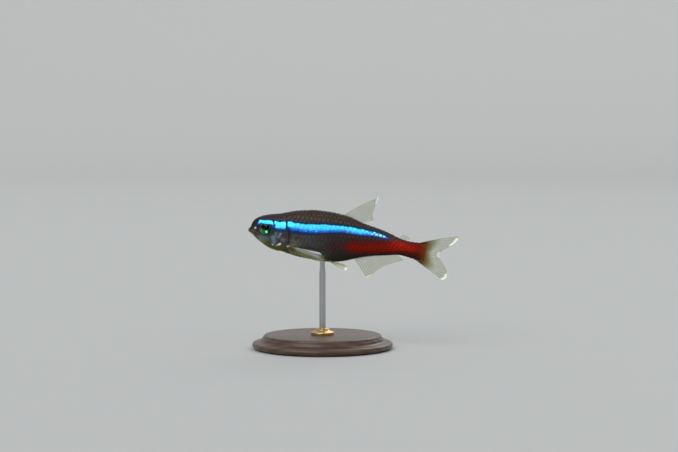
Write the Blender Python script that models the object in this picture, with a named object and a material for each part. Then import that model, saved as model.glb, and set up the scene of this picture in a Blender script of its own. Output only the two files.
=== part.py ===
"""A neon tetra, life size, swimming head up with its tail swung aside, on a display stand.

The fish is worked out straight, in its own frame: x runs from the snout to the tail, y to its right
side and z to its back, all as shares of its standard length. Every mesh is bent into the swimming pose
at the end. In the world the snout points to -X and the origin is the middle of the stand's underside.
"""

import math

import bmesh
import bpy
import numpy as np

# Driving sizes, in metres and degrees
STANDARD_LENGTH = 0.028  # snout to the end of the tail stalk
GAP = 0.0003  # between pieces that touch
HEAD_UP = 6.9  # pitch of the whole fish
TAIL_SWING = 42.0  # how far the tail fin has turned to the fish's left
SWING_FROM, SWING_TO = 0.45, 1.20  # stretch of the body that bends
ROD_STATION = 0.43  # where the rod meets the belly
BELLY_CLEARANCE = 0.0115  # from the base's top to the belly
BASE_RADIUS, BASE_THICKNESS = 0.0110, 0.0022
FOOT_INSET, FOOT_CHAMFER = 0.0012, 0.0001  # the base stands on a flat that lies this far inside its edge
BEAD_RADIUS, BEAD_HEIGHT = 0.00045, 0.00062  # half-round bead at the base's edge, and its middle's height
COVE_WIDTH, COVE_DEPTH, COVE_INSET = 0.00055, 0.00045, 0.00095  # hollow above the bead
TOP_INSET, TOP_ROUNDING = 0.0021, 0.00035  # the raised top's edge
ROD_RADIUS, ROD_SOCKET_DEPTH = 0.0005, 0.0013
COLLAR_RADIUS, COLLAR_HEIGHT = 0.0018, 0.0007

# Fin sizes, in metres
WEB = 0.00050  # membrane between two rays
RIDGE = 0.00012  # a ray's height above the membrane, on each face
PAIRED_RIDGE = 0.00007  # the same on the small paired fins
TIP_SHARE = 0.45  # thickness left at the margin

# Body outlines, as (place along the body, height or half width), in standard lengths
BACK = (
    (0, 0), (0.004, 0.0085), (0.0095, 0.0180), (0.0130, 0.0285), (0.0165, 0.0410), (0.0225, 0.0535),
    (0.034, 0.0660), (0.052, 0.0785), (0.080, 0.0905), (0.120, 0.1015), (0.165, 0.1110), (0.210, 0.1240),
    (0.255, 0.1370), (0.300, 0.1455), (0.360, 0.1525), (0.420, 0.1530), (0.480, 0.1505), (0.560, 0.135), (0.630, 0.113),
    (0.730, 0.091), (0.800, 0.071), (0.860, 0.0525), (0.920, 0.0465), (1, 0.050),
)
BELLY = (
    (0, 0), (0.006, -0.0100), (0.014, -0.0165), (0.030, -0.0290), (0.053, -0.0465), (0.080, -0.0635),
    (0.120, -0.0845), (0.165, -0.0960), (0.220, -0.1035), (0.290, -0.1165), (0.360, -0.1225), (0.480, -0.1235),
    (0.550, -0.110), (0.630, -0.082), (0.720, -0.059), (0.800, -0.0445), (0.860, -0.036),
    (0.910, -0.0405), (1, -0.053),
)
HALF_WIDTH = (
    (0, 0), (0.010, 0.018), (0.030, 0.031), (0.055, 0.041), (0.090, 0.052), (0.150, 0.063),
    (0.220, 0.068), (0.330, 0.069), (0.480, 0.062), (0.600, 0.050), (0.720, 0.038),
    (0.820, 0.028), (0.900, 0.0205), (0.960, 0.014), (1, 0.0095),
)
WIDEST_AT = ((0, 0), (0.05, 0.011), (0.10, 0.017), (0.20, 0.012), (0.35, 0.005), (0.60, 0.010),
             (0.80, 0.012), (0.90, 0.004), (1, -0.001))
BACK_FULLNESS, BELLY_FULLNESS = 2.1, 1.9  # 2 is an ellipse, more is boxier
BODY_RINGS, BODY_SIDES = 46, 28

# Cuts that part the body, as (place along the body, height)
GILL_SLIT = ((0.160, 0.17), (0.188, 0.118), (0.208, 0.070), (0.223, 0.022), (0.231, -0.022),
             (0.229, -0.055), (0.211, -0.081), (0.178, -0.098), (0.130, -0.125))
TAIL_CUT = ((0.690, 0.17), (0.664, 0.10), (0.640, 0.05), (0.622, 0), (0.606, -0.05), (0.592, -0.10),
            (0.578, -0.15))
JAW_CUT = ((0.055, -0.027), (0.073, -0.047), (0.086, -0.075), (0.092, -0.105))  # below the mouth's corner
GILL_COVER_FRONT = ((0.178, 0.073), (0.156, 0.056), (0.145, 0.024), (0.143, -0.010), (0.150, -0.042),
                    (0.172, -0.063))
GILL_COVER_ENDS = (0.30, 0.70)  # where its front line meets the gill slit, as shares of the slit
GILL_COVER_DEPTH = 0.024  # its flat inner face lies this far off the middle plane
CUT_REACH = 0.12  # half of a cutter's width across the fish
CUT_STEPS = 24

# Head details, in standard lengths
EYE_PLACE, EYE_HEIGHT, EYE_RADIUS = 0.091, 0.0185, 0.0365
EYE_DEPTH_SHARE = 0.60  # the eyeball is flatter across the fish
EYE_SINK = 0.0135  # its middle lies this far under the cheek
MOUTH_CORNER, MOUTH_DROP = 0.037, 0.0125
LIP_RADIUS, LIP_SETBACK = 0.0042, 0.0030  # the lips' middle line turns this far behind the snout's tip
NOSTRIL_PLACE, NOSTRIL_ANGLE, NOSTRIL_RADIUS = 0.046, 52, 0.0062

# Fins: root and tip outlines run from the leading ray to the last one
DORSAL_BASE = (0.515, 0.622)
DORSAL_TIPS = ((0.701, 0.267), (0.690, 0.226), (0.678, 0.180), (0.680, 0.150), (0.689, 0.136))
ANAL_BASE = (0.600, 0.838)
ANAL_TIPS = ((0.684, -0.187), (0.705, -0.174), (0.745, -0.134), (0.805, -0.096), (0.888, -0.060))
ADIPOSE_BASE = (0.836, 0.870)
ADIPOSE_TIPS = ((0.846, 0.0665), (0.866, 0.0775), (0.892, 0.0740), (0.908, 0.0590))
TAIL_UPPER_ROOT = ((0.985, 0.0600), (1.0076, 0.0565), (1.0107, 0.042), (1.0107, 0.0055))
TAIL_UPPER_TIPS = ((1.219, 0.1195), (1.228, 0.112), (1.214, 0.088), (1.187, 0.064), (1.152, 0.041),
                   (1.122, 0.022), (1.108, 0.0062))
TAIL_LOWER_ROOT = ((0.968, -0.0625), (1.0076, -0.0606), (1.0107, -0.045), (1.0107, -0.0055))
TAIL_LOWER_TIPS = ((1.151, -0.133), (1.172, -0.121), (1.181, -0.104), (1.172, -0.076),
                   (1.146, -0.045), (1.119, -0.022), (1.108, -0.0062))
DORSAL_RAYS, ANAL_RAYS, UPPER_RAYS, LOWER_RAYS = 10, 18, 10, 9
PECTORAL_RAYS, PELVIC_RAYS = 9, 7


def smooth_curve(knots):
    """A natural cubic spline through (place, value) knots, as a function of an array of places."""
    place, value = np.array(knots, float).T
    span = np.diff(place)
    slope = np.diff(value) / span
    system = np.eye(len(place))
    change = np.zeros(len(place))
    for i in range(1, len(place) - 1):
        system[i, i - 1 : i + 2] = span[i - 1], 2 * (span[i - 1] + span[i]), span[i]
        change[i] = 6 * (slope[i] - slope[i - 1])
    bend = np.linalg.solve(system, change)

    def at(x):
        x = np.asarray(x, float)
        i = np.clip(np.searchsorted(place, x) - 1, 0, len(span) - 1)
        left, right = place[i + 1] - x, x - place[i]
        curved = (bend[i] * left**3 + bend[i + 1] * right**3) / (6 * span[i])
        start = (value[i] / span[i] - bend[i] * span[i] / 6) * left
        end = (value[i + 1] / span[i] - bend[i + 1] * span[i] / 6) * right
        return curved + start + end

    return at


def blunt_curve(knots):
    """A spline in the root of the place, so that a shape that starts at the snout starts blunt."""
    curve = smooth_curve([(math.sqrt(x), value) for x, value in knots])
    return lambda x: curve(np.sqrt(np.maximum(x, 0)))


back_height = blunt_curve(BACK)
belly_height = blunt_curve(BELLY)
half_width = blunt_curve(HALF_WIDTH)
widest_height = smooth_curve(WIDEST_AT)


def through(points, count):
    """count points along a smooth line through the given ones, spaced alike between them."""
    points = np.array(points, float)
    along = np.concatenate([[0], np.cumsum(np.linalg.norm(np.diff(points, axis=0), axis=1))])
    t = np.linspace(0, along[-1], count)
    return np.stack([smooth_curve(list(zip(along, column)))(t) for column in points.T], axis=1)


def flank(x, angle):
    """Points of the body's surface. angle is in degrees: 0 the back, 90 the right side, 180 the belly."""
    turn = np.radians(angle)
    cos, sin = np.cos(turn), np.sin(turn)
    power = np.where(cos > 0, 2 / BACK_FULLNESS, 2 / BELLY_FULLNESS)
    reach = np.where(cos > 0, back_height(x) - widest_height(x), widest_height(x) - belly_height(x))
    y = half_width(x) * np.sign(sin) * np.abs(sin) ** power
    z = widest_height(x) + reach * np.sign(cos) * np.abs(cos) ** power
    return np.stack([np.broadcast_to(x, y.shape), y, z], axis=-1)


def off_flank(x, angle, out):
    """Points that stand off the body's surface by out, measured square to its section."""
    here = flank(x, angle)
    along = flank(x, angle + 1) - flank(x, angle - 1)
    normal = np.stack([np.zeros_like(along[..., 0]), -along[..., 2], along[..., 1]], axis=-1)
    return here + out * normal / np.linalg.norm(normal, axis=-1, keepdims=True)


def angle_at(x, height):
    """The flank angle of the right side that lies at a height."""
    angles = np.linspace(0, 180, 361)
    return np.interp(-height, -flank(np.full(361, x), angles)[:, 2], angles)


def swimming_pose():
    """The pose as a function from straight fish points to world points.

    The centre line turns to the fish's left by a smooth step between SWING_FROM and SWING_TO, and the
    whole fish is pitched up. The belly at ROD_STATION stands over the origin.
    """
    x = np.linspace(-0.1, 1.4, 1501)
    t = np.clip((x - SWING_FROM) / (SWING_TO - SWING_FROM), 0, 1)
    swing = math.radians(TAIL_SWING) * t * t * (3 - 2 * t)
    mid = (swing[1:] + swing[:-1]) / 2
    ahead = np.concatenate([[0], np.cumsum(np.cos(mid) * np.diff(x))])
    aside = np.concatenate([[0], np.cumsum(np.sin(mid) * np.diff(x))])
    pitch = math.radians(HEAD_UP)

    def place(points):
        points = np.asarray(points, float)
        turn = np.interp(points[:, 0], x, swing)
        forward = np.interp(points[:, 0], x, ahead) + points[:, 1] * np.sin(turn)
        across = -np.interp(points[:, 0], x, aside) + points[:, 1] * np.cos(turn)
        up = points[:, 2]
        level = forward * math.cos(pitch) + up * math.sin(pitch)
        height = up * math.cos(pitch) - forward * math.sin(pitch)
        return STANDARD_LENGTH * np.stack([level, across, height], axis=1)

    belly = place([[ROD_STATION, 0, float(belly_height(ROD_STATION))]])[0]
    foot = np.array([0, 0, BASE_THICKNESS + BELLY_CLEARANCE])
    return lambda points: place(points) - belly + foot


pose = swimming_pose()


def material(name, colour, roughness, metallic=0.0):
    made = bpy.data.materials.new(name)
    made.use_nodes = True
    shader = made.node_tree.nodes["Principled BSDF"]
    shader.inputs["Base Color"].default_value = (*colour, 1)
    shader.inputs["Roughness"].default_value = roughness
    shader.inputs["Metallic"].default_value = metallic
    return made


def new_object(name, vertices, faces, collection):
    """A mesh object in the fish's straight frame, with its faces turned outwards."""
    mesh = bpy.data.meshes.new(name)
    mesh.from_pydata([tuple(v) for v in vertices], [], [tuple(f) for f in faces])
    work = bmesh.new()
    work.from_mesh(mesh)
    bmesh.ops.recalc_face_normals(work, faces=work.faces)
    work.to_mesh(mesh)
    work.free()
    made = bpy.data.objects.new(name, mesh)
    collection.objects.link(made)
    return made


def loft_body(name, collection):
    """The whole body as rings from the snout to the end of the tail stalk."""
    x = (np.arange(1, BODY_RINGS + 1) / BODY_RINGS) ** 1.75
    angles = np.arange(BODY_SIDES) * 360 / BODY_SIDES
    rings = flank(x[:, None], np.broadcast_to(angles, (BODY_RINGS, BODY_SIDES)))
    vertices = [(0, 0, 0), *rings.reshape(-1, 3)]
    faces = []
    for side in range(BODY_SIDES):
        after = (side + 1) % BODY_SIDES
        faces.append((0, 1 + side, 1 + after))
        for ring in range(BODY_RINGS - 1):
            here = 1 + ring * BODY_SIDES
            beyond = here + BODY_SIDES
            faces.append((here + side, beyond + side, beyond + after, here + after))
    last = 1 + (BODY_RINGS - 1) * BODY_SIDES
    faces.append(range(last, last + BODY_SIDES))
    return new_object(name, vertices, faces, collection)


def blade(name, root, tip, steps, thickness, collection, bow=None):
    """A closed sheet between two lines of points, with both faces split into triangles alike.

    A point of its middle surface is root + (tip - root) * v, plus 4 v (1 - v) times the bow of its
    column. thickness is a function of the column numbers and v.
    """
    columns = len(root)
    v = np.linspace(0, 1, steps + 1)[None, :, None]
    middle = root[:, None] * (1 - v) + tip[:, None] * v
    if bow is not None:
        middle = middle + 4 * v * (1 - v) * bow[:, None]
    normal = np.cross(np.gradient(middle, axis=0), np.gradient(middle, axis=1))
    normal /= np.linalg.norm(normal, axis=2, keepdims=True)
    half = thickness(np.arange(columns)[:, None], v[..., 0])[..., None] / 2
    vertices = np.concatenate([(middle - normal * half).reshape(-1, 3), (middle + normal * half).reshape(-1, 3)])
    faces = []
    across = columns * (steps + 1)
    row = steps + 1
    for i in range(columns - 1):
        for j in range(steps):
            a, b, c, d = i * row + j, (i + 1) * row + j, (i + 1) * row + j + 1, i * row + j + 1
            for near, far, third in ((a, b, c), (a, c, d)):
                faces.append((near, far, third))
                faces.append((near + across, third + across, far + across))
    rim = [i * row for i in range(columns)]
    rim += [(columns - 1) * row + j for j in range(1, row)]
    rim += [i * row + steps for i in range(columns - 2, -1, -1)]
    rim += [j for j in range(steps - 1, 0, -1)]
    for here, after in zip(rim, rim[1:] + rim[:1]):
        faces.append((here, here + across, after))
        faces.append((after, here + across, after + across))
    return new_object(name, vertices, faces, collection)


def rayed(column, v, height=RIDGE):
    """Fin thickness: every second column is a ray, a ridge on both faces, and all thins to the margin."""
    ridge = np.where(column % 2 == 1, 2 * height, 0)
    return (WEB + ridge) / STANDARD_LENGTH * (1 - (1 - TIP_SHARE) * v)


def spreading(column, v):
    """The same for a paired fin: its rays spread from a narrow root, where their ridges rise from nothing."""
    return rayed(column, v, PAIRED_RIDGE * np.minimum(1, 3 * v))


def even(share):
    """A sheet of one thickness, in standard lengths."""
    return lambda column, v: np.full(np.broadcast(column, v).shape, share)


def plain(column, v):
    """Thickness of a fin without rays, which thins to the margin."""
    return np.broadcast_to(WEB / STANDARD_LENGTH * (1 - (1 - TIP_SHARE) * v), np.broadcast(column, v).shape)


def upright(points):
    """Side view points (x, z) as points on the fish's middle plane."""
    points = np.asarray(points, float)
    return np.stack([points[:, 0], np.zeros(len(points)), points[:, 1]], axis=1)


def middle_fin(name, root, tips, rays, steps, collection, bow=(0, 0, 0)):
    """A fin on the middle plane. The bow fades from the leading ray to the last."""
    columns = 2 * rays + 1
    fade = np.linspace(1, 0, columns)[:, None] * np.array(bow)
    return blade(name, upright(through(root, columns)), upright(through(tips, columns)), steps, rayed,
                 collection, fade)


def profile_root(height, base, sign):
    """Root line of a fin that stands on the back or the belly, GAP off it."""
    x = np.linspace(*base, 5)
    return np.stack([x, height(x) + sign * GAP / STANDARD_LENGTH], axis=1)


def paired_fin(name, side, root, tips, rays, steps, bow, collection):
    """A pectoral or pelvic fin of one side, from points of the right one."""
    columns = 2 * rays + 1
    mirror = np.array([1, side, 1])
    fade = np.linspace(1, 0, columns)[:, None] * np.array(bow)
    return blade(name, through(root, columns) * mirror, through(tips, columns) * mirror, steps, spreading,
                 collection, fade * mirror)


def pectoral_fin(name, side, collection):
    """Low on the flank behind the gill cover, swept back along the belly and a little outward."""
    stand_off = (GAP + WEB / 2 + PAIRED_RIDGE) / STANDARD_LENGTH
    heights = (-0.066, -0.075, -0.085)
    root = [off_flank(0.243, angle_at(0.243, height), stand_off) for height in heights]
    tips = ((0.410, 0.104, -0.073), (0.434, 0.105, -0.094), (0.450, 0.104, -0.117), (0.425, 0.100, -0.123),
            (0.385, 0.095, -0.120), (0.335, 0.086, -0.111))
    return paired_fin(name, side, root, tips, PECTORAL_RAYS, 6, (0, 0.008, 0.002), collection)


def pelvic_fin(name, side, collection):
    """Beside the middle line of the belly. The leading ray is the outer one."""
    stand_off = (GAP + WEB / 2) / STANDARD_LENGTH
    root = [off_flank(x, angle, stand_off) for x, angle in ((0.462, 158), (0.470, 165), (0.478, 172))]
    tips = ((0.566, 0.052, -0.158), (0.573, 0.046, -0.153), (0.566, 0.040, -0.141), (0.546, 0.034, -0.130))
    return paired_fin(name, side, root, tips, PELVIC_RAYS, 5, (0, 0.002, -0.010), collection)


def ellipsoid(name, centre, radii, collection, segments=20, rings=10):
    """A sphere primitive stretched to three radii, its poles on the left and right of the fish."""
    bpy.ops.mesh.primitive_uv_sphere_add(segments=segments, ring_count=rings, radius=1)
    made = bpy.context.object
    made.name = name
    points = np.array([v.co for v in made.data.vertices])[:, [0, 2, 1]] * (1, -1, 1)
    for vertex, point in zip(made.data.vertices, points * radii + centre):
        vertex.co = point
    move_to(made, collection)
    return made


def move_to(made, collection):
    for old in list(made.users_collection):
        old.objects.unlink(made)
    collection.objects.link(made)


def eye_centre(side):
    """The middle of an eyeball, sunk under the cheek."""
    angle = angle_at(EYE_PLACE, EYE_HEIGHT)
    return off_flank(EYE_PLACE, angle, -EYE_SINK) * (1, side, 1)


def gape_height(x):
    """Height of the closed mouth between the snout's tip and the corners."""
    return -MOUTH_DROP * (np.maximum(x, 0) / MOUTH_CORNER) ** 0.8


def mouth_line(count, lift):
    """Points round the snout from the right corner of the mouth to the left one, in the skin."""
    t = np.linspace(1, -1, count)
    length = MOUTH_CORNER - LIP_SETBACK
    x = LIP_SETBACK + length * t * t
    height = gape_height(x) + lift
    return np.stack([x, half_width(x) * t / np.sqrt(t * t + LIP_SETBACK / length), height], axis=1)


def lip(name, lift, collection):
    """A bead along one edge of the gape: a bevelled curve with caps, made into a closed mesh."""
    line = bpy.data.curves.new(name, "CURVE")
    line.dimensions = "3D"
    line.bevel_depth = LIP_RADIUS
    line.bevel_resolution = 1
    line.use_fill_caps = True
    spline = line.splines.new("POLY")
    points = mouth_line(17, lift)
    spline.points.add(len(points) - 1)
    for point, place in zip(spline.points, points):
        point.co = (*place, 1)
    drawn = bpy.data.objects.new(name, line)
    collection.objects.link(drawn)
    bpy.context.view_layer.update()
    mesh = bpy.data.meshes.new_from_object(drawn.evaluated_get(bpy.context.evaluated_depsgraph_get()))
    work = bmesh.new()
    work.from_mesh(mesh)
    bmesh.ops.remove_doubles(work, verts=work.verts, dist=1e-6)
    bmesh.ops.recalc_face_normals(work, faces=work.faces)
    work.to_mesh(mesh)
    work.free()
    made = bpy.data.objects.new(name + "_bead", mesh)
    made.matrix_world = drawn.matrix_world
    collection.objects.link(made)
    bpy.data.objects.remove(drawn)
    return made


def combine(target, collection, operation, solver):
    """Applies one Boolean with every closed mesh of a collection, and then removes those."""
    change = target.modifiers.new(operation.title(), "BOOLEAN")
    change.operand_type = "COLLECTION"
    change.collection = collection
    change.operation = operation
    change.solver = solver
    bpy.context.view_layer.objects.active = target
    bpy.ops.object.modifier_apply(modifier=change.name)
    for tool in list(collection.objects):
        bpy.data.objects.remove(tool)
    bpy.data.collections.remove(collection)


def tool_collection(name):
    """A hidden collection for cutters and for pieces that are fused into another."""
    made = bpy.data.collections.new(name)
    made.hide_render = True
    bpy.context.scene.collection.children.link(made)
    return made


def cut_sheet(name, path, collection):
    """A cutter GAP thick that follows a side view path right through the fish."""
    line = upright(through(path, CUT_STEPS + 1))
    reach = np.array([0, CUT_REACH, 0])
    return blade(name, line - reach, line + reach, 1, even(GAP / STANDARD_LENGTH), collection)


def gill_cover_cutter(side, collection):
    """A cup that frees one gill cover: a wall GAP thick before it, a floor behind it, open outwards.

    The cup's rear wall lies inside the gill slit, so that the slit alone shapes the cover's rear edge.
    """
    gap = GAP / STANDARD_LENGTH
    slit = through(GILL_SLIT, 401)
    along = np.gradient(slit, axis=0)
    rearward = np.stack([-along[:, 1], along[:, 0]], axis=1)
    rearward /= np.linalg.norm(rearward, axis=1, keepdims=True)
    first, last = (round(400 * share) for share in GILL_COVER_ENDS)
    step = round(gap / np.linalg.norm(along[200]))
    front = through([slit[first], *GILL_COVER_FRONT, slit[last]], 17)
    ahead = np.gradient(front, axis=0)
    forward = np.stack([ahead[:, 1], -ahead[:, 0]], axis=1)
    outer_front = front + gap * forward / np.linalg.norm(forward, axis=1, keepdims=True)
    outer_front[0], outer_front[-1] = slit[first - step], slit[last + step]
    rear = np.linspace(last, first, 14).round().astype(int)[1:-1]
    inner = [*front, *slit[rear]]
    outer = [*outer_front, *(slit[rear] + gap / 6 * rearward[rear])]
    count = len(inner)
    levels = ((outer, CUT_REACH), (outer, GILL_COVER_DEPTH - gap), (inner, GILL_COVER_DEPTH), (inner, CUT_REACH))
    vertices = [(x, side * y, z) for line, y in levels for x, z in line]
    faces = [range(count, 2 * count), range(2 * count, 3 * count)]
    for i in range(count):
        j = (i + 1) % count
        for here, beyond in ((0, 1), (2, 3), (3, 0)):
            low, high = here * count, beyond * count
            faces.append((low + i, low + j, high + j, high + i))
    return new_object("gill_cover_cut", vertices, faces, collection)


def split_body(body):
    """Parts the cut body into its closed surfaces and names them by where they lie."""
    bpy.ops.object.select_all(action="DESELECT")
    body.select_set(True)
    bpy.context.view_layer.objects.active = body
    bpy.ops.object.mode_set(mode="EDIT")
    bpy.ops.mesh.select_all(action="SELECT")
    bpy.ops.mesh.separate(type="LOOSE")
    bpy.ops.object.mode_set(mode="OBJECT")
    pieces = sorted(bpy.context.selected_objects, key=lambda o: len(o.data.vertices), reverse=True)
    places = {
        "head": (0.12, 0, 0.04), "lower_jaw": (0.05, 0, -0.04), "trunk": (0.40, 0, 0), "tail": (0.80, 0, 0),
        "gill_cover_left": (0.19, -0.05, 0), "gill_cover_right": (0.19, 0.05, 0),
    }
    for scrap in pieces[len(places) :]:
        bpy.data.objects.remove(scrap)
    pieces = pieces[: len(places)]
    middles = {piece: np.mean([v.co for v in piece.data.vertices], axis=0) for piece in pieces}
    named = []
    for name, place in places.items():
        piece = min(middles, key=lambda p: np.linalg.norm(middles[p] - place))
        del middles[piece]
        piece.name = piece.data.name = name
        named.append(piece)
    return named


def make_body(collection):
    """One loft, parted along the mouth, the gill slit and behind the vent, with the gill covers freed."""
    body = loft_body("body", collection)
    lips = tool_collection("lips")
    lip_lift = GAP / STANDARD_LENGTH / 2 + 0.55 * LIP_RADIUS
    lip("upper_lip", lip_lift, lips)
    lip("lower_lip", -lip_lift, lips)
    combine(body, lips, "UNION", "EXACT")
    cutters = tool_collection("cutters")
    cut_sheet("gill_cut", GILL_SLIT, cutters)
    cut_sheet("tail_cut", TAIL_CUT, cutters)
    gape = [(x, float(gape_height(x))) for x in (-0.03, 0, 0.007, 0.020, MOUTH_CORNER)]
    cut_sheet("jaw_cut", (*gape, *JAW_CUT), cutters)
    socket = np.array([EYE_RADIUS, EYE_RADIUS * EYE_DEPTH_SHARE, EYE_RADIUS]) + GAP / STANDARD_LENGTH
    pit = np.array([NOSTRIL_RADIUS, NOSTRIL_RADIUS, 0.8 * NOSTRIL_RADIUS])
    for side in (-1, 1):
        gill_cover_cutter(side, cutters)
        ellipsoid("socket", eye_centre(side), socket, cutters)
        nostril = flank(NOSTRIL_PLACE, NOSTRIL_ANGLE) * (1, side, 1)
        ellipsoid("nostril", nostril, pit, cutters, 10, 6)
    combine(body, cutters, "DIFFERENCE", "MANIFOLD")
    return split_body(body)


def make_fins(collection):
    """Every fin in a node of its own. The tail fin is two lobes that part at the fork."""
    back, belly = profile_root(back_height, DORSAL_BASE, 1), profile_root(belly_height, ANAL_BASE, -1)
    adipose = through(profile_root(back_height, ADIPOSE_BASE, 1), 9)
    fins = [
        middle_fin("dorsal_fin", back, DORSAL_TIPS, DORSAL_RAYS, 7, collection, (-0.006, 0, 0.004)),
        middle_fin("anal_fin", belly, ANAL_TIPS, ANAL_RAYS, 5, collection, (0.004, 0, -0.003)),
        blade("adipose_fin", upright(adipose), upright(through(ADIPOSE_TIPS, 9)), 4, plain, collection),
        middle_fin("tail_fin_upper", TAIL_UPPER_ROOT, TAIL_UPPER_TIPS, UPPER_RAYS, 8, collection, (0, 0, 0.005)),
        middle_fin("tail_fin_lower", TAIL_LOWER_ROOT, TAIL_LOWER_TIPS, LOWER_RAYS, 8, collection, (0, 0, -0.002)),
    ]
    for word, side in (("left", -1), ("right", 1)):
        fins.append(pectoral_fin(f"pectoral_fin_{word}", side, collection))
        fins.append(pelvic_fin(f"pelvic_fin_{word}", side, collection))
    return fins


def make_eyes(collection):
    radii = np.array([EYE_RADIUS, EYE_RADIUS * EYE_DEPTH_SHARE, EYE_RADIUS])
    sides = (("left", -1), ("right", 1))
    return [ellipsoid(f"eye_{word}", eye_centre(side), radii, collection) for word, side in sides]


def bend_into_pose(made):
    """Moves a straight piece's vertices to their places in the world."""
    points = np.array([v.co for v in made.data.vertices])
    made.data.vertices.foreach_set("co", pose(points).astype(np.float32).ravel())
    made.data.update()
    made.data.shade_smooth()
    made.data.set_sharp_from_angle(angle=math.radians(35))


def cylinder(name, radius, low, high, sides, collection):
    bpy.ops.mesh.primitive_cylinder_add(vertices=sides, radius=radius, depth=high - low,
                                        location=(0, 0, (low + high) / 2))
    made = bpy.context.object
    made.name = name
    move_to(made, collection)
    return made


def arc(centre, radii, first, last, count):
    """Profile points on a quarter or half ellipse, between two angles in degrees."""
    turns = np.radians(np.linspace(first, last, count))
    return [(centre[0] + radii[0] * math.cos(t), centre[1] + radii[1] * math.sin(t)) for t in turns]


def base_profile():
    """The turned base's outline as (radius, height), from its flat foot up to its flat top."""
    foot = [(BASE_RADIUS - FOOT_INSET, 0), (BASE_RADIUS - FOOT_INSET / 2, FOOT_CHAMFER)]
    bead = arc((BASE_RADIUS - BEAD_RADIUS, BEAD_HEIGHT), (BEAD_RADIUS, BEAD_RADIUS), -90, 90, 9)
    cove_low = BEAD_HEIGHT + BEAD_RADIUS + FOOT_CHAMFER
    cove = arc((BASE_RADIUS - COVE_INSET, cove_low + COVE_DEPTH), (COVE_WIDTH, COVE_DEPTH), 270, 180, 5)
    top = arc((BASE_RADIUS - TOP_INSET, BASE_THICKNESS - TOP_ROUNDING), (TOP_ROUNDING, TOP_ROUNDING), 0, 90, 4)
    return foot + bead + cove + top


def turned(name, profile, sides, collection):
    """A closed shape turned round the upright axis, with flat ends."""
    turns = np.arange(sides) * 2 * math.pi / sides
    vertices = [(radius * math.cos(t), radius * math.sin(t), height) for radius, height in profile for t in turns]
    last = (len(profile) - 1) * sides
    faces = [range(sides), range(last, last + sides)]
    for ring in range(len(profile) - 1):
        for side in range(sides):
            here, after = ring * sides + side, ring * sides + (side + 1) % sides
            faces.append((here, after, after + sides, here + sides))
    return new_object(name, vertices, faces, collection)


def make_stand(collection):
    """A turned base with a socket, a collar and one rod that ends GAP under the belly."""
    base = turned("stand_base", base_profile(), 48, collection)
    cutters = tool_collection("stand_cutters")
    socket_floor = BASE_THICKNESS - ROD_SOCKET_DEPTH
    socket = cylinder("socket", ROD_RADIUS + GAP, socket_floor, 2 * BASE_THICKNESS, 16, cutters)
    socket.hide_render = True
    socket.display_type = "WIRE"
    drill = base.modifiers.new("Rod socket", "BOOLEAN")
    drill.object = socket
    drill.solver = "EXACT"
    drill.operation = "DIFFERENCE"
    rod_top = BASE_THICKNESS + BELLY_CLEARANCE - GAP
    rod = cylinder("stand_rod", ROD_RADIUS, socket_floor + GAP, rod_top, 16, collection)
    low = BASE_THICKNESS + GAP
    collar = cylinder("stand_collar", COLLAR_RADIUS, low, low + COLLAR_HEIGHT, 24, collection)
    bore = cylinder("collar_bore", ROD_RADIUS + GAP, 0, 2 * BASE_THICKNESS, 16, cutters)
    bore.hide_render = True
    bore.display_type = "WIRE"
    opening = collar.modifiers.new("Rod bore", "BOOLEAN")
    opening.object = bore
    opening.solver = "EXACT"
    opening.operation = "DIFFERENCE"
    for made in (base, rod, collar):
        made.data.shade_smooth()
        made.data.set_sharp_from_angle(angle=math.radians(35))
    return base, rod, collar


def colour_all(body, fins, eyes, stand):
    """Each node's own material, in the colours of the live fish."""
    flesh = {"trunk": (0.10, 0.28, 0.42), "tail": (0.45, 0.03, 0.02)}
    for piece in body:
        colour = flesh.get(piece.name, (0.16, 0.12, 0.11))
        piece.data.materials.append(material(piece.name + "_skin", colour, 0.35))
    for piece in fins:
        piece.data.materials.append(material(piece.name + "_membrane", (0.50, 0.48, 0.36), 0.40))
    for piece in eyes:
        piece.data.materials.append(material(piece.name + "_ball", (0.01, 0.05, 0.03), 0.10))
    looks = (((0.10, 0.05, 0.03), 0.45, 0.0), ((0.55, 0.55, 0.56), 0.30, 1.0), ((0.70, 0.50, 0.20), 0.30, 1.0))
    for piece, (colour, roughness, metallic) in zip(stand, looks):
        piece.data.materials.append(material(piece.name + "_finish", colour, roughness, metallic))


def main():
    for old in list(bpy.data.objects):
        bpy.data.objects.remove(old)
    tetra = bpy.data.collections.new("neon_tetra")
    bpy.context.scene.collection.children.link(tetra)
    body = make_body(tetra)
    fins = make_fins(tetra)
    eyes = make_eyes(tetra)
    for piece in (*body, *fins, *eyes):
        bend_into_pose(piece)
    stand = make_stand(tetra)
    colour_all(body, fins, eyes, stand)


main()
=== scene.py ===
"""The looks of a life-size neon tetra on a display stand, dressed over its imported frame.

The fish is worked out straight, as in the part's own source: x runs from the snout to the tail, y to the
fish's right and z to its back, all as shares of its standard length. swim() carries such points into the
world, where the snout points to -X and the origin is the middle of the stand's underside.
"""

import math

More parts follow.
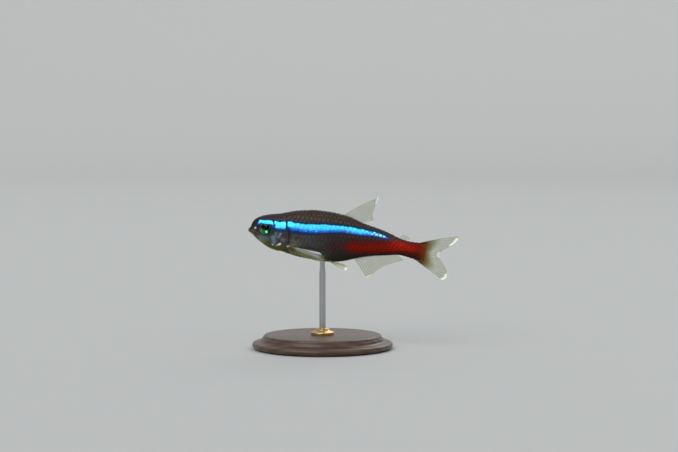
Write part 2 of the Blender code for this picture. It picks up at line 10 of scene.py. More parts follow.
import bpy
import numpy as np
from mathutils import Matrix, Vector


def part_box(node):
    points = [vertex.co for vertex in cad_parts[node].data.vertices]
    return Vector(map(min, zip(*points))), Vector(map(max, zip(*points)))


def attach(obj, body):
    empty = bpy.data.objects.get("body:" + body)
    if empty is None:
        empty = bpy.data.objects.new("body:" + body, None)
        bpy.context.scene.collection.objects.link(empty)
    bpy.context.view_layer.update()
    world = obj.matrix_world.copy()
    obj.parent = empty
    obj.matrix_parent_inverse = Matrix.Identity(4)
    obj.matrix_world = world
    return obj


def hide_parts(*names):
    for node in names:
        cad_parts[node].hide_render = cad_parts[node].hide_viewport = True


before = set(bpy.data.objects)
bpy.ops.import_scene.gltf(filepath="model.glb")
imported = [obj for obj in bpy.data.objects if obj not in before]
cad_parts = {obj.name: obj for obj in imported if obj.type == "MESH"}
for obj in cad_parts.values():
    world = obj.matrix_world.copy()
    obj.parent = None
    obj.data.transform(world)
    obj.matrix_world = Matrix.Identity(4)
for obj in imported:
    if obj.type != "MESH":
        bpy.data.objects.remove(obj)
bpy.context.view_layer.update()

bl_info = {
    "name": "Neon Tetra Model",
    "version": (1, 0, 0),
    "blender": (4, 5, 0),
    "location": "View3D > Sidebar > Tetra",
    "description": "Skin, scales, eyes, fins, stand and stage of a life-size neon tetra",
    "category": "Object",
}

# Sizes of the frame, in metres and degrees, as in the part's source
STANDARD_LENGTH = 0.028
HEAD_UP = 6.9
TAIL_SWING = 42.0
SWING_FROM, SWING_TO = 0.45, 1.20
ROD_STATION = 0.43
BELLY_CLEARANCE = 0.0115
BASE_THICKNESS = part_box("stand_base")[1].z
BASE_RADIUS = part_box("stand_base")[1].x
COLLAR_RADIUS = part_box("stand_collar")[1].x
COLLAR_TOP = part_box("stand_collar")[1].z
ROD_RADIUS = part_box("stand_rod")[1].x

# Edges of the stand, in metres, as in the part's source
BEAD_RADIUS, BEAD_HEIGHT = 0.00045, 0.00062
COVE_WIDTH, COVE_DEPTH, COVE_INSET, COVE_HEIGHT = 0.00055, 0.00045, 0.00095, 0.00162
TOP_INSET, TOP_ROUNDING = 0.0021, 0.00035
BASE_FOOT = ((0.0012, 0), (0.0007, 0.00002), (0.00055, 0.0001))  # insets from the edge, and heights
COLLAR_FOOT = ((0.94, 0), (1, 0.05), (1, 0.17))  # shares of the collar's radius and height
COLLAR_LIP = ((0.52, 1), (0.40, 1), (0, 1))
ROD_TAPER = ((1, 0.0022), (0.96, 0.0019), (0.80, 0.0011), (0.80, 0.0001), (0.56, 0))  # radius, way to go
ROD_INTO_BELLY = 0.00025
BASE_SIDES, COLLAR_SIDES, ROD_SIDES = 160, 96, 48
SHARP_ANGLE = 40  # turned edges over this many degrees aren't smoothed

# Body outlines, as (place along the body, height or half width)
BACK = (
    (0, 0), (0.004, 0.0085), (0.0095, 0.0180), (0.0130, 0.0285), (0.0165, 0.0410), (0.0225, 0.0535),
    (0.034, 0.0660), (0.052, 0.0785), (0.080, 0.0905), (0.120, 0.1015), (0.165, 0.1110), (0.210, 0.1240),
    (0.255, 0.1370), (0.300, 0.1455), (0.360, 0.1525), (0.420, 0.1530), (0.480, 0.1505), (0.560, 0.135),
    (0.630, 0.113), (0.730, 0.091), (0.800, 0.071), (0.860, 0.0525), (0.920, 0.0465), (1, 0.050),
)
BELLY = (
    (0, 0), (0.006, -0.0100), (0.014, -0.0165), (0.030, -0.0290), (0.053, -0.0465), (0.080, -0.0635),
    (0.120, -0.0845), (0.165, -0.0960), (0.220, -0.1035), (0.290, -0.1165), (0.360, -0.1225),
    (0.480, -0.1235), (0.550, -0.110), (0.630, -0.082), (0.720, -0.059), (0.800, -0.0445),
    (0.860, -0.036), (0.910, -0.0405), (1, -0.053),
)
HALF_WIDTH = (
    (0, 0), (0.010, 0.018), (0.030, 0.031), (0.055, 0.041), (0.090, 0.052), (0.150, 0.063),
    (0.220, 0.068), (0.330, 0.069), (0.480, 0.062), (0.600, 0.050), (0.720, 0.038),
    (0.820, 0.028), (0.900, 0.0205), (0.960, 0.014), (1, 0.0095),
)
WIDEST_AT = ((0, 0), (0.05, 0.011), (0.10, 0.017), (0.20, 0.012), (0.35, 0.005), (0.60, 0.010),
             (0.80, 0.012), (0.90, 0.004), (1, -0.001))
BACK_FULLNESS, BELLY_FULLNESS = 2.1, 1.9

# Lines on the head, as (place along the body, height)
GILL_SLIT = ((0.200, 0.088), (0.208, 0.070), (0.223, 0.022), (0.231, -0.022), (0.229, -0.055),
             (0.211, -0.081), (0.178, -0.098), (0.130, -0.115))
GILL_COVER_FRONT = ((0.178, 0.073), (0.156, 0.056), (0.145, 0.024), (0.143, -0.010), (0.150, -0.042),
                    (0.172, -0.063))
CHEEK_LINE = ((0.132, 0.020), (0.136, -0.006), (0.128, -0.030), (0.106, -0.044), (0.078, -0.040))
SUBOPERCLE_LINE = ((0.158, -0.058), (0.180, -0.064), (0.204, -0.064), (0.226, -0.056))
MOUTH = ((0, 0), (0.012, -0.0045), (0.026, -0.0098), (0.037, -0.0150), (0.044, -0.0230), (0.047, -0.0340))
MAXILLA = ((0.030, -0.004), (0.046, -0.012), (0.054, -0.030))
THROAT_RAYS = (0.011, 0.018, 0.025)  # how far the rays of the gill membrane lie ahead of the slit
EYE_PLACE, EYE_HEIGHT, EYE_RADIUS = 0.091, 0.0185, 0.0365
NOSTRILS = ((0.0385, 56, 0.0030), (0.0490, 50, 0.0042))  # place, flank angle and radius
VENT_PLACE = 0.586

# Edges of the markings, as (place along the body, height)
GLOW_TOP = ((0.050, 0.0545), (0.054, 0.0612), (0.066, 0.0650), (0.094, 0.0672), (0.130, 0.0685),
            (0.156, 0.0690), (0.190, 0.0712), (0.208, 0.0745), (0.220, 0.0766), (0.236, 0.0758),
            (0.255, 0.0732), (0.284, 0.0720), (0.312, 0.0727), (0.340, 0.0752), (0.394, 0.0804),
            (0.450, 0.0840), (0.506, 0.0870), (0.564, 0.0849), (0.592, 0.0822), (0.622, 0.0810),
            (0.650, 0.0776), (0.704, 0.0728), (0.752, 0.0645), (0.785, 0.0560))
GLOW_LOW = ((0.050, 0.0420), (0.056, 0.0430), (0.066, 0.0458), (0.080, 0.0475), (0.112, 0.0467),
            (0.132, 0.0465), (0.140, 0.0430), (0.147, 0.0350), (0.156, 0.0300), (0.172, 0.0305),
            (0.190, 0.0307), (0.205, 0.0325), (0.213, 0.0400), (0.220, 0.0440), (0.234, 0.0402),
            (0.260, 0.0415), (0.284, 0.0408), (0.312, 0.0400), (0.340, 0.0404), (0.368, 0.0422),
            (0.394, 0.0457), (0.422, 0.0492), (0.450, 0.0534), (0.478, 0.0570), (0.506, 0.0606),
            (0.534, 0.0600), (0.564, 0.0583), (0.592, 0.0558), (0.622, 0.0545), (0.650, 0.0550),
            (0.704, 0.0565), (0.752, 0.0525), (0.785, 0.0490))
DEEP_LOW = ((0.050, 0.0340), (0.066, 0.0404), (0.080, 0.0435), (0.100, 0.0430), (0.124, 0.0380),
            (0.144, 0.0240), (0.156, 0.0228), (0.190, 0.0238), (0.216, 0.0258), (0.234, 0.0240),
            (0.250, 0.0207), (0.284, 0.0212), (0.312, 0.0200), (0.340, 0.0221), (0.368, 0.0248),
            (0.394, 0.0301), (0.422, 0.0355), (0.450, 0.0396), (0.478, 0.0433), (0.506, 0.0477),
            (0.534, 0.0500), (0.592, 0.0494), (0.622, 0.0484), (0.650, 0.0500), (0.704, 0.0540),
            (0.728, 0.0525), (0.752, 0.0489), (0.785, 0.0460))
EDGE_ABOVE = ((0.20, 0.0035), (0.28, 0.0070), (0.62, 0.0050))  # how far the dark edge reaches over the glow
RED_TOP = ((0.535, -0.030), (0.555, -0.006), (0.600, 0.006), (0.650, 0.010), (0.700, 0.0155),
           (0.750, 0.0235), (0.800, 0.038), (0.850, 0.046), (0.920, 0.0440), (1.04, 0.046))
RED_LOW = ((0.535, -0.030), (0.555, -0.046), (0.590, -0.0525), (0.650, -0.0515), (0.720, -0.043),
           (0.786, -0.034), (0.860, -0.026), (0.930, -0.023), (1.04, -0.030))

# Soft strokes in the side view, as (one end, other end, width, strength)
STRIPE_CUTS = (  # dark gaps in the stripe
    ((0.129, 0.076), (0.136, 0.0603), 0.0038, 0.9), ((0.136, 0.0603), (0.1440, 0.0440), 0.0038, 0.9),
    ((0.170, 0.082), (0.170, 0.0700), 0.0050, 0.8), ((0.2055, 0.0816), (0.2120, 0.0250), 0.0042, 1.0),
)
# The strongest of these strokes, such as the point at the nostril, carry painted glints with a painted glow
SILVER_STROKES = (  # silver places of the head
    ((0.173, -0.0180), (0.177, -0.0060), 0.0080, 0.55),
    ((0.177, -0.0070), (0.182, 0.0030), 0.0052, 0.78), ((0.142, -0.0200), (0.152, -0.0480), 0.0120, 0.75),
    ((0.164, -0.0670), (0.176, -0.0600), 0.0052, 0.9), ((0.177, -0.0600), (0.186, -0.0540), 0.0050, 2.0),
    ((0.226, -0.0655), (0.236, -0.0590), 0.0050, 1.4), ((0.0378, 0.0165), (0.0385, 0.0165), 0.0040, 3.0),
    ((0.144, -0.0641), (0.145, -0.0641), 0.0048, 1.5), ((0.074, -0.0270), (0.112, -0.0330), 0.0110, 0.38),
    ((0.196, -0.0300), (0.200, -0.0320), 0.0110, 0.45),
    ((0.150, 0.0000), (0.158, -0.0150), 0.0080, 0.45),
)
WARM_STROKES = (  # brown and orange places of the head
    ((0.217, -0.0060), (0.221, -0.0300), 0.0075, 0.6), ((0.188, -0.0660), (0.216, -0.0520), 0.0075, 1.0),
    ((0.004, -0.0060), (0.020, -0.0120), 0.0080, 0.9), ((0.028, -0.0060), (0.044, -0.0100), 0.0080, 0.55),
    ((0.122, -0.0720), (0.200, -0.0840), 0.0090, 0.40), ((0.158, -0.0080), (0.166, -0.0400), 0.0050, 0.4),
    ((0.188, -0.0180), (0.198, -0.0360), 0.0095, 0.58),
)
DARK_STROKES = (  # nearly black places of the head
    ((0.016, 0.0330), (0.048, 0.0480), 0.0160, 1.1), ((0.010, 0.0120), (0.026, 0.0290), 0.0090, 1.0),
    ((0.040, -0.0180), (0.058, -0.0420), 0.0070, 0.7),
    ((0.050, 0.0380), (0.049, 0.0050), 0.0080, 0.8), ((0.133, 0.0300), (0.141, -0.0050), 0.0090, 0.6),
    ((0.240, 0.0150), (0.244, -0.0550), 0.0055, 0.45),
)

# Fin outlines, as (place along the body, height), and the paired fins' tips as full points
DORSAL_BASE = (0.515, 0.622)
DORSAL_TIPS = ((0.701, 0.267), (0.690, 0.226), (0.678, 0.180), (0.680, 0.150), (0.689, 0.136))
ANAL_BASE = (0.600, 0.838)
ANAL_TIPS = ((0.684, -0.187), (0.705, -0.174), (0.745, -0.134), (0.805, -0.096), (0.888, -0.060))
ADIPOSE_BASE = (0.836, 0.870)
ADIPOSE_TIPS = ((0.846, 0.0665), (0.866, 0.0775), (0.892, 0.0740), (0.908, 0.0590))
TAIL_UPPER_ROOT = ((0.974, 0.0440), (1.0020, 0.0450), (1.0080, 0.036), (1.0107, 0))
TAIL_UPPER_TIPS = ((1.219, 0.1195), (1.228, 0.112), (1.214, 0.088), (1.187, 0.064), (1.152, 0.041),
                   (1.122, 0.022), (1.106, 0))
TAIL_LOWER_ROOT = ((0.962, -0.0450), (1.0000, -0.0480), (1.0080, -0.038), (1.0107, 0))
TAIL_LOWER_TIPS = ((1.151, -0.133), (1.172, -0.121), (1.181, -0.104), (1.172, -0.076),
                   (1.146, -0.045), (1.119, -0.022), (1.106, 0))
PECTORAL_ROOT = ((0.243, -0.066), (0.243, -0.075), (0.243, -0.085))
PECTORAL_TIPS = ((0.410, 0.104, -0.073), (0.434, 0.105, -0.094), (0.450, 0.104, -0.117),
                 (0.425, 0.100, -0.123), (0.385, 0.095, -0.120), (0.335, 0.086, -0.111))
PELVIC_ROOT = ((0.462, 158), (0.470, 165), (0.478, 172))
PELVIC_TIPS = ((0.566, 0.052, -0.158), (0.573, 0.046, -0.153), (0.566, 0.040, -0.141),
               (0.546, 0.034, -0.130))
ROOT_SINK, TAIL_ROOT_SINK = 0.004, 0.012  # how far the roots lie inside the body

# Rays of the fins, and how far their middles bow out at the leading ray
DORSAL_RAYS, ANAL_RAYS, TAIL_UPPER_RAYS, TAIL_LOWER_RAYS, PECTORAL_RAYS, PELVIC_RAYS = 10, 18, 10, 9, 9, 7
ADIPOSE_PARTS = 3  # this fin has no rays and is only divided as if it had
DORSAL_BOW, ANAL_BOW, ADIPOSE_BOW = (-0.006, 0, 0.004), (0.004, 0, -0.003), (0, 0, 0)
TAIL_UPPER_BOW, TAIL_LOWER_BOW = (0, 0, 0.005), (0, 0, -0.002)
PECTORAL_BOW, PELVIC_BOW = (0, 0.008, 0.002), (0, 0.002, -0.010)

# Pale margins of the fins, as (first share of the margin, last share, reach inwards, strength)
DORSAL_WHITE = ((-0.1, 0.30, 0.040, 0.9), (0.30, 0.60, 0.02, 0.4))
ANAL_WHITE = ((-0.1, 0.14, 0.05, 0.9), (0.14, 0.5, 0.02, 0.3))
ADIPOSE_WHITE = ((0.2, 0.9, 0.10, 0.35),)
TAIL_WHITE = ((0.04, 0.24, 0.085, 1.0), (0.24, 0.42, 0.020, 0.45), (0.46, 0.58, 0.14, 0.65),
              (0.60, 0.82, 0.020, 0.35), (0.86, 1.1, 0.075, 1.0))
PECTORAL_WHITE = ((-0.1, 0.12, 0.55, 1.0),)
PELVIC_WHITE = ((-0.1, 0.45, 0.12, 1.0), (-0.1, 0.7, 0.60, 0.42))

# The eyes: reaches in radii, and heights off the cheek in standard lengths
EYE_SIDES = 64
EYE_SPREAD = 1.05  # the ball's radius, in radii of the orbit
PUPIL_REACH, LENS_RISE = 0.58, 0.0052
BALL_RIM, BALL_DEPTH = -0.0106, 0.014
CORNEA_REACH, CORNEA_TURN = 0.965, 1.35  # the dome turns by so many radians
CORNEA_FOOT, CORNEA_RISE, CORNEA_THICKNESS = -0.0075, 0.0165, 0.0012

# How finely the surfaces are divided
SKIN_RINGS, SKIN_SIDES, TAIL_CAP_RINGS = 300, 256, 10
HEAD_FINENESS, HEAD_ENDS = 3.4, (0.24, 0.34)  # the head's rings are closer, up to these places
TAIL_CAP = 0.016  # the stalk rounds off over this length behind the body
FLANK_ANGLES = np.linspace(0, 180, 361)  # from the back to the belly
SCALE_CELLS = 8
SCALE_ROWS, SCALE_COLUMNS = 10, 40  # rows above and below the widest line, and scales in a row
SCALES_FROM, SCALES_TO = 0.165, 0.992
SCALE_STATIONS = np.linspace(0.10, 1.06, 241)
SCALE_SEED = 11
FIN_COLUMNS_PER_RAY = 14

# The photograph's framing
PHOTO_WIDTH, PHOTO_HEIGHT = 678, 452
SNOUT_PIXEL = (248.5, 229.5)
PIXELS_PER_METRE = 6415
CAMERA_RISE = 3.5
SENSOR_WIDTH = 36

# The stage: where each light shines from and how broad it is in degrees, and the floor in metres
LIGHTS = (
    ("key", (-0.45, -0.75, 0.80), 45), ("fill", (0.80, -0.55, 0.45), 60), ("rim", (0.35, 0.80, 0.70), 35),
)
FLOOR_RADIUS, FLOOR_BEND, WALL_TOP, FLOOR_SIDES = 0.75, 0.40, 0.45, 96


def smooth_curve(knots):
    """A natural cubic spline through (place, value) knots, as a function of an array of places."""
    place, value = np.array(knots, float).T
    span = np.diff(place)
    slope = np.diff(value) / span
    system = np.eye(len(place))
    change = np.zeros(len(place))
    for i in range(1, len(place) - 1):
        system[i, i - 1 : i + 2] = span[i - 1], 2 * (span[i - 1] + span[i]), span[i]
        change[i] = 6 * (slope[i] - slope[i - 1])
    bend = np.linalg.solve(system, change)

    def at(x):
        x = np.asarray(x, float)
        i = np.clip(np.searchsorted(place, x) - 1, 0, len(span) - 1)
        left, right = place[i + 1] - x, x - place[i]
        curved = (bend[i] * left**3 + bend[i + 1] * right**3) / (6 * span[i])
        start = (value[i] / span[i] - bend[i] * span[i] / 6) * left
        end = (value[i + 1] / span[i] - bend[i + 1] * span[i] / 6) * right
        return curved + start + end

    return at


def blunt_curve(knots):
    """A spline in the root of the place, so that a shape that starts at the snout starts blunt."""
    curve = smooth_curve([(math.sqrt(x), value) for x, value in knots])
    return lambda x: curve(np.sqrt(np.maximum(x, 0)))


def held_curve(knots):
    """A spline that keeps its end values outside its knots."""
    curve = smooth_curve(knots)
    return lambda x: curve(np.clip(x, knots[0][0], knots[-1][0]))


def through(points, count):
    """count points along a smooth line through the given ones, spaced alike between them."""
    points = np.array(points, float)
    along = np.concatenate([[0], np.cumsum(np.linalg.norm(np.diff(points, axis=0), axis=1))])
    t = np.linspace(0, along[-1], count)
    return np.stack([smooth_curve(list(zip(along, column)))(t) for column in points.T], axis=1)


def ease(low, high, value):
    """0 below low, 1 above high, and a smooth step between them."""
    t = np.clip((value - low) / (high - low), 0, 1)
    return t * t * (3 - 2 * t)


def bell(distance, width):
    """A bell curve: 1 in the middle, falling off over the width."""
    return np.exp(-((distance / width) ** 2))


def unit(vectors):
    """Vectors of the same directions and of length 1."""
    return vectors / np.linalg.norm(vectors, axis=-1, keepdims=True)


back_height = blunt_curve(BACK)
belly_height = blunt_curve(BELLY)
half_width = blunt_curve(HALF_WIDTH)
widest_height = smooth_curve(WIDEST_AT)


def flank(x, angle):
    """Points of the body's surface. angle is in degrees: 0 the back, 90 the right side, 180 the belly.

    Each section is two half superellipses that meet where the body is widest.
    """
    turn = np.radians(angle)
    cos, sin = np.cos(turn), np.sin(turn)
    power = np.where(cos > 0, 2 / BACK_FULLNESS, 2 / BELLY_FULLNESS)
    reach = np.where(cos > 0, back_height(x) - widest_height(x), widest_height(x) - belly_height(x))
    y = half_width(x) * np.sign(sin) * np.abs(sin) ** power
    z = widest_height(x) + reach * np.sign(cos) * np.abs(cos) ** power
    return np.stack([np.broadcast_to(x, y.shape), y, z], axis=-1)


def off_flank(x, angle, out):
    """Points that stand off the body by out along its normal, the cross product of its two slopes."""
    x, angle, out = np.broadcast_arrays(x, angle, out)
    stride, turn = 0.002, 1.5
    lengthwise = flank(x + stride, angle) - flank(np.maximum(x - stride, 0), angle)
    around = flank(x, angle + turn) - flank(x, angle - turn)
    return flank(x, angle) + unit(np.cross(lengthwise, around)) * out[..., None]


def angle_at(x, height):
    """The flank angle of the right side that lies at a height."""
    return np.interp(-height, -flank(np.full(len(FLANK_ANGLES), x), FLANK_ANGLES)[:, 2], FLANK_ANGLES)


def swimming_pose():
    """The pose as a function from straight fish points to world points.

    The centre line turns to the fish's left by a smooth step between SWING_FROM and SWING_TO, and the
    whole fish is pitched up. The belly at ROD_STATION stands over the origin.
    """
    x = np.linspace(-0.1, 1.4, 1501)
    swing = math.radians(TAIL_SWING) * ease(SWING_FROM, SWING_TO, x)
    mid = (swing[1:] + swing[:-1]) / 2
    ahead = np.concatenate([[0], np.cumsum(np.cos(mid) * np.diff(x))])
    aside = np.concatenate([[0], np.cumsum(np.sin(mid) * np.diff(x))])
    pitch = math.radians(HEAD_UP)

    def place(points):
        turn = np.interp(points[..., 0], x, swing)
        forward = np.interp(points[..., 0], x, ahead) + points[..., 1] * np.sin(turn)
        across = -np.interp(points[..., 0], x, aside) + points[..., 1] * np.cos(turn)
        up = points[..., 2]
        level = forward * math.cos(pitch) + up * math.sin(pitch)
        height = up * math.cos(pitch) - forward * math.sin(pitch)
        return STANDARD_LENGTH * np.stack([level, across, height], axis=-1)

    belly = place(np.array([ROD_STATION, 0, float(belly_height(ROD_STATION))]))
    foot = np.array([0, 0, BASE_THICKNESS + BELLY_CLEARANCE])
    return lambda points: place(np.asarray(points, float)) - belly + foot


swim = swimming_pose()


class Socket:
    """One output of a node. Arithmetic on it adds Math nodes to its material."""

    def __init__(self, finish, output):
        self.finish, self.output = finish, output

    def __add__(self, other):
        return self.finish.maths("ADD", self, other)

    def __radd__(self, other):
        return self.finish.maths("ADD", other, self)

    def __sub__(self, other):
        return self.finish.maths("SUBTRACT", self, other)

    def __rsub__(self, other):
        return self.finish.maths("SUBTRACT", other, self)

    def __mul__(self, other):
        return self.finish.maths("MULTIPLY", self, other)

    def __rmul__(self, other):
        return self.finish.maths("MULTIPLY", other, self)

    def __pow__(self, other):
        return self.finish.maths("POWER", self, other)


class Finish:
    """A material under construction."""

    def __init__(self, name):
        self.material = bpy.data.materials.new(name)
        self.material.use_nodes = True
        self.tree = self.material.node_tree
        self.tree.nodes.clear()

    def node(self, kind, settings=None, sockets=None, output=0):
        """Adds a node, with its settings and its sockets' values or links. Returns one output."""
        made = self.tree.nodes.new(kind)
        for name, value in (settings or {}).items():
            setattr(made, name, value)
        for name, value in (sockets or {}).items():
            target = made.inputs[name]
            if isinstance(value, Socket):
                self.tree.links.new(value.output, target)
            elif target.type == "RGBA":
                target.default_value = (*value, 1)
            else:
                target.default_value = value
        return Socket(self, made.outputs[output])

    def maths(self, operation, *values):
        """A Math node on sockets and numbers."""
        return self.node("ShaderNodeMath", {"operation": operation}, dict(enumerate(values)))

    def read(self, name):
        """A vector attribute of the mesh."""
        return self.node("ShaderNodeAttribute", {"attribute_name": name}, output="Vector")

    def parts(self, vector):
        """The three numbers of a vector."""
        split = self.node("ShaderNodeSeparateXYZ", None, {0: vector})
        return [Socket(self, output) for output in split.output.node.outputs]

    def step(self, value, low, high):
        """A smooth step from 0 at low to 1 at high."""
        sockets = {"Value": value, "From Min": low, "From Max": high}
        return self.node("ShaderNodeMapRange", {"interpolation_type": "SMOOTHSTEP"}, sockets, "Result")

    def mix(self, share, first, second):
        """The first colour where share is 0, and the second where it is 1."""
        return self.node("ShaderNodeMix", {"data_type": "RGBA"}, {0: share, 6: first, 7: second}, 2)

    def paint(self, colour, *layers):
        """A colour with (share, colour) layers mixed over it, one after the other."""
        for share, layer in layers:
            colour = self.mix(share, colour, layer)
        return colour

    def noise(self, where, scale, detail):
        sockets = {"Vector": where, "Scale": scale, "Detail": detail}
        return self.node("ShaderNodeTexNoise", None, sockets, "Fac")

    def bump(self, height, distance, strength):
        sockets = {"Height": height, "Distance": distance, "Strength": strength}
        return self.node("ShaderNodeBump", None, sockets, "Normal")

    def surface(self, sockets):
        """Ends the material in a Principled shader."""
        shader = self.node("ShaderNodeBsdfPrincipled", None, sockets)
        end = self.tree.nodes.new("ShaderNodeOutputMaterial")
        self.tree.links.new(shader.output, end.inputs["Surface"])
        return self.material


def grid_faces(rows, columns, wrap=False):
    """Quads of a grid of points in rows, each (here, next row, next row and column, next column)."""
    number = np.arange(rows * columns).reshape(rows, columns)
    after = np.roll(number, -1, axis=1)
    last = columns if wrap else columns - 1
    here, beside = number[:-1, :last], after[:-1, :last]
    below, across = number[1:, :last], after[1:, :last]
    return np.stack([here, below, across, beside], axis=-1).reshape(-1, 4)


def fan(centre, ring, flip=False):
    """Triangles from one point to each side of a closed ring of points."""
    after = np.roll(ring, -1)
    first, second = (after, ring) if flip else (ring, after)
    return np.stack([np.full(len(ring), centre), first, second], axis=1)


def closed_sheet(rows, columns):
    """Faces of two grids of points over each other, the upper one numbered first, joined by a rim."""
    cells = rows * columns
    sheet = grid_faces(rows, columns)
    number = np.arange(cells).reshape(rows, columns)
    edge = np.concatenate([number[:, 0], number[-1, 1:], number[-2::-1, -1], number[0, -2:0:-1]])
    after = np.roll(edge, -1)
    rim = np.stack([edge, edge + cells, after + cells, after], axis=1)
    return np.concatenate([sheet, sheet[:, ::-1] + cells, rim])


def capped_rings(rings, sides, flip=False):
    """Faces of closed rings of points, with a fan to the first point of all and one to the last."""
    quads = grid_faces(rings, sides, wrap=True) + 1
    first = np.arange(sides) + 1
    last = first + (rings - 1) * sides
    return [quads[:, ::-1] if flip else quads, fan(0, first, flip), fan(rings * sides + 1, last, not flip)]


def turned_points(profile, sides):
    """A profile of (radius, height) points carried round an axis, as places across it and heights along it.

    The profile's first and last points lie on the axis and give one point each.
    """
    profile = np.array(profile, float)
    turn = np.arange(sides) * 2 * math.pi / sides
    circle = np.stack([np.cos(turn), np.sin(turn)], axis=-1)
    rings = (profile[1:-1, :1, None] * circle).reshape(-1, 2)
    across = np.concatenate([np.zeros((1, 2)), rings, np.zeros((1, 2))])
    height = np.concatenate([profile[:1, 1], np.repeat(profile[1:-1, 1], sides), profile[-1:, 1]])
    return across, height


def ellipse_arc(centre, radii, first, last, count):
    """Points on part of an ellipse, between two angles in degrees."""
    turns = np.radians(np.linspace(first, last, count))
    return [(centre[0] + radii[0] * math.cos(t), centre[1] + radii[1] * math.sin(t)) for t in turns]


def new_piece(name, points, faces, vectors, material):
    """A smooth mesh from arrays: points, lists of faces of one size each, and vector attributes."""
    mesh = bpy.data.meshes.new(name)
    corners = np.concatenate([group.ravel() for group in faces])
    sizes = np.concatenate([np.full(len(group), group.shape[1]) for group in faces])
    starts = np.concatenate([[0], np.cumsum(sizes)[:-1]])
    mesh.vertices.add(len(points))
    mesh.vertices.foreach_set("co", points.astype(np.float32).ravel())
    mesh.loops.add(len(corners))
    mesh.loops.foreach_set("vertex_index", corners.astype(np.int32))
    mesh.polygons.add(len(sizes))
    mesh.polygons.foreach_set("loop_start", starts.astype(np.int32))
    mesh.update(calc_edges=True)
    for label, values in vectors.items():
        layer = mesh.attributes.new(label, "FLOAT_VECTOR", "POINT")
        layer.data.foreach_set("vector", values.reshape(-1, 3).astype(np.float32).ravel())
    mesh.shade_smooth()
    mesh.materials.append(material)
    piece = bpy.data.objects.new(name, mesh)
    bpy.context.scene.collection.objects.link(piece)
    return piece


def show(piece, slot, *nodes):
    """Rides a piece on the still body, in place of the nodes that it shows."""
    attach(piece, "root")
    if nodes:
        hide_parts(*nodes)
    return piece


def signed_distance(line, x, z):
    """Distance of points to a line in the side view, plus behind a line that is drawn downwards.

    Each point is dropped on every short straight of the line, and the nearest foot counts. Also gives
    the share of the line at which that foot lies.
    """
    points = through(line, 33)
    start, stride = points[:-1], np.diff(points, axis=0)
    away = np.stack([x, z], axis=-1)[..., None, :] - start
    share = np.clip((away * stride).sum(-1) / (stride**2).sum(-1), 0, 1)
    gap = np.linalg.norm(away - share[..., None] * stride, axis=-1)
    nearest = gap.argmin(-1)[..., None]
    side = stride[:, 0] * away[..., 1] - stride[:, 1] * away[..., 0]
    pick = lambda values: np.take_along_axis(values, nearest, -1)[..., 0]
    return pick(gap) * np.sign(pick(side)), (nearest[..., 0] + pick(share)) / len(stride)


def markings(x, z):
    """The stripe's glow, its deep blue edge and the red band, each plus inside and minus outside.

    Inside a band the value is the distance to its nearer edge, and past its ends it falls with the
    distance to the end.
    """
    def band(top, low, first, last, taper):
        inside = np.minimum(held_curve(top)(x) - z, z - held_curve(low)(x))
        return np.minimum(inside, taper * np.minimum(x - first, last - x))

    glow = band(GLOW_TOP, GLOW_LOW, 0.050, 0.774, 0.7) - 0.03 * strokes(STRIPE_CUTS, x, z)
    above = [float(np.interp(place, *zip(*EDGE_ABOVE))) for place, _ in GLOW_TOP]
    raised = [(place, height + more) for (place, height), more in zip(GLOW_TOP, above)]
    deep = band(raised, DEEP_LOW, 0.048, 0.782, 0.7)
    red = band(RED_TOP, RED_LOW, 0.528, 1.10, 0.35)
    return np.stack([glow, deep, red], axis=-1)


def stripe_rise(x, z):
    """Height in the stripe: 0 at its low edge and 1 at its top."""
    top, low = held_curve(GLOW_TOP)(x), held_curve(GLOW_LOW)(x)
    return (z - low) / np.maximum(top - low, 0.004)


def strokes(lines, x, z):
    """Soft strokes in the side view: each is a bell curve of the distance to a straight line."""
    share = np.zeros_like(x)
    for start, end, width, strength in lines:
        start, stride = np.array(start), np.array(end) - start
        away = np.stack([x, z], axis=-1) - start
        along = np.clip((away @ stride) / (stride @ stride), 0, 1)
        gap = np.linalg.norm(away - along[..., None] * stride, axis=-1)
        share = np.maximum(share, strength * bell(gap, width))
    return share


def patches(x, z):
    """The silver, the warm and the dark places of the head, their outlines frayed by two crossing waves."""
    x, z = x + 0.0018 * np.sin(840 * z + 260 * x), z + 0.0016 * np.sin(910 * x - 330 * z)
    groups = (SILVER_STROKES, WARM_STROKES, DARK_STROKES)
    return np.stack([strokes(lines, x, z) for lines in groups], axis=-1)


def crown(x, z):
    """Height on the flank: 1 at the back's outline, 0 where the body is widest and -1 at the belly's."""
    middle = widest_height(x)
    reach = np.where(z > middle, back_height(x) - middle, middle - belly_height(x))
    return (z - middle) / np.maximum(reach, 1e-4)


def eye_frame(side):
    """An eye's middle on the cheek, and its directions tailwards, upwards and outwards."""
    angle = angle_at(EYE_PLACE, EYE_HEIGHT)
    middle = flank(EYE_PLACE, angle)
    outward = unit(off_flank(EYE_PLACE, angle, 1.0) - middle)
    tailward = unit(np.array([1, 0, 0]) - outward[0] * outward)
    upward = np.cross(outward, tailward)
    mirror = np.array([1, side, 1])
    return [part * mirror for part in (middle, tailward, upward * np.sign(upward[2]), outward)]


def ring_places():
    """Places of the skin's rings: closer in the head, and evenly spread round the blunt snout."""
    x = np.linspace(0, 1, 4001) ** 2
    stride = np.hypot(np.diff(x), np.diff(back_height(x))) * np.interp(x[1:], HEAD_ENDS, (HEAD_FINENESS, 1))
    along = np.concatenate([[0], np.cumsum(stride)])
    even = np.interp(np.linspace(0, along[-1], SKIN_RINGS + 1)[1:], along, x)
    turn = np.linspace(0, math.pi / 2, TAIL_CAP_RINGS + 1)[1:-1]
    return np.concatenate([even, 1 + TAIL_CAP * np.sin(turn)])


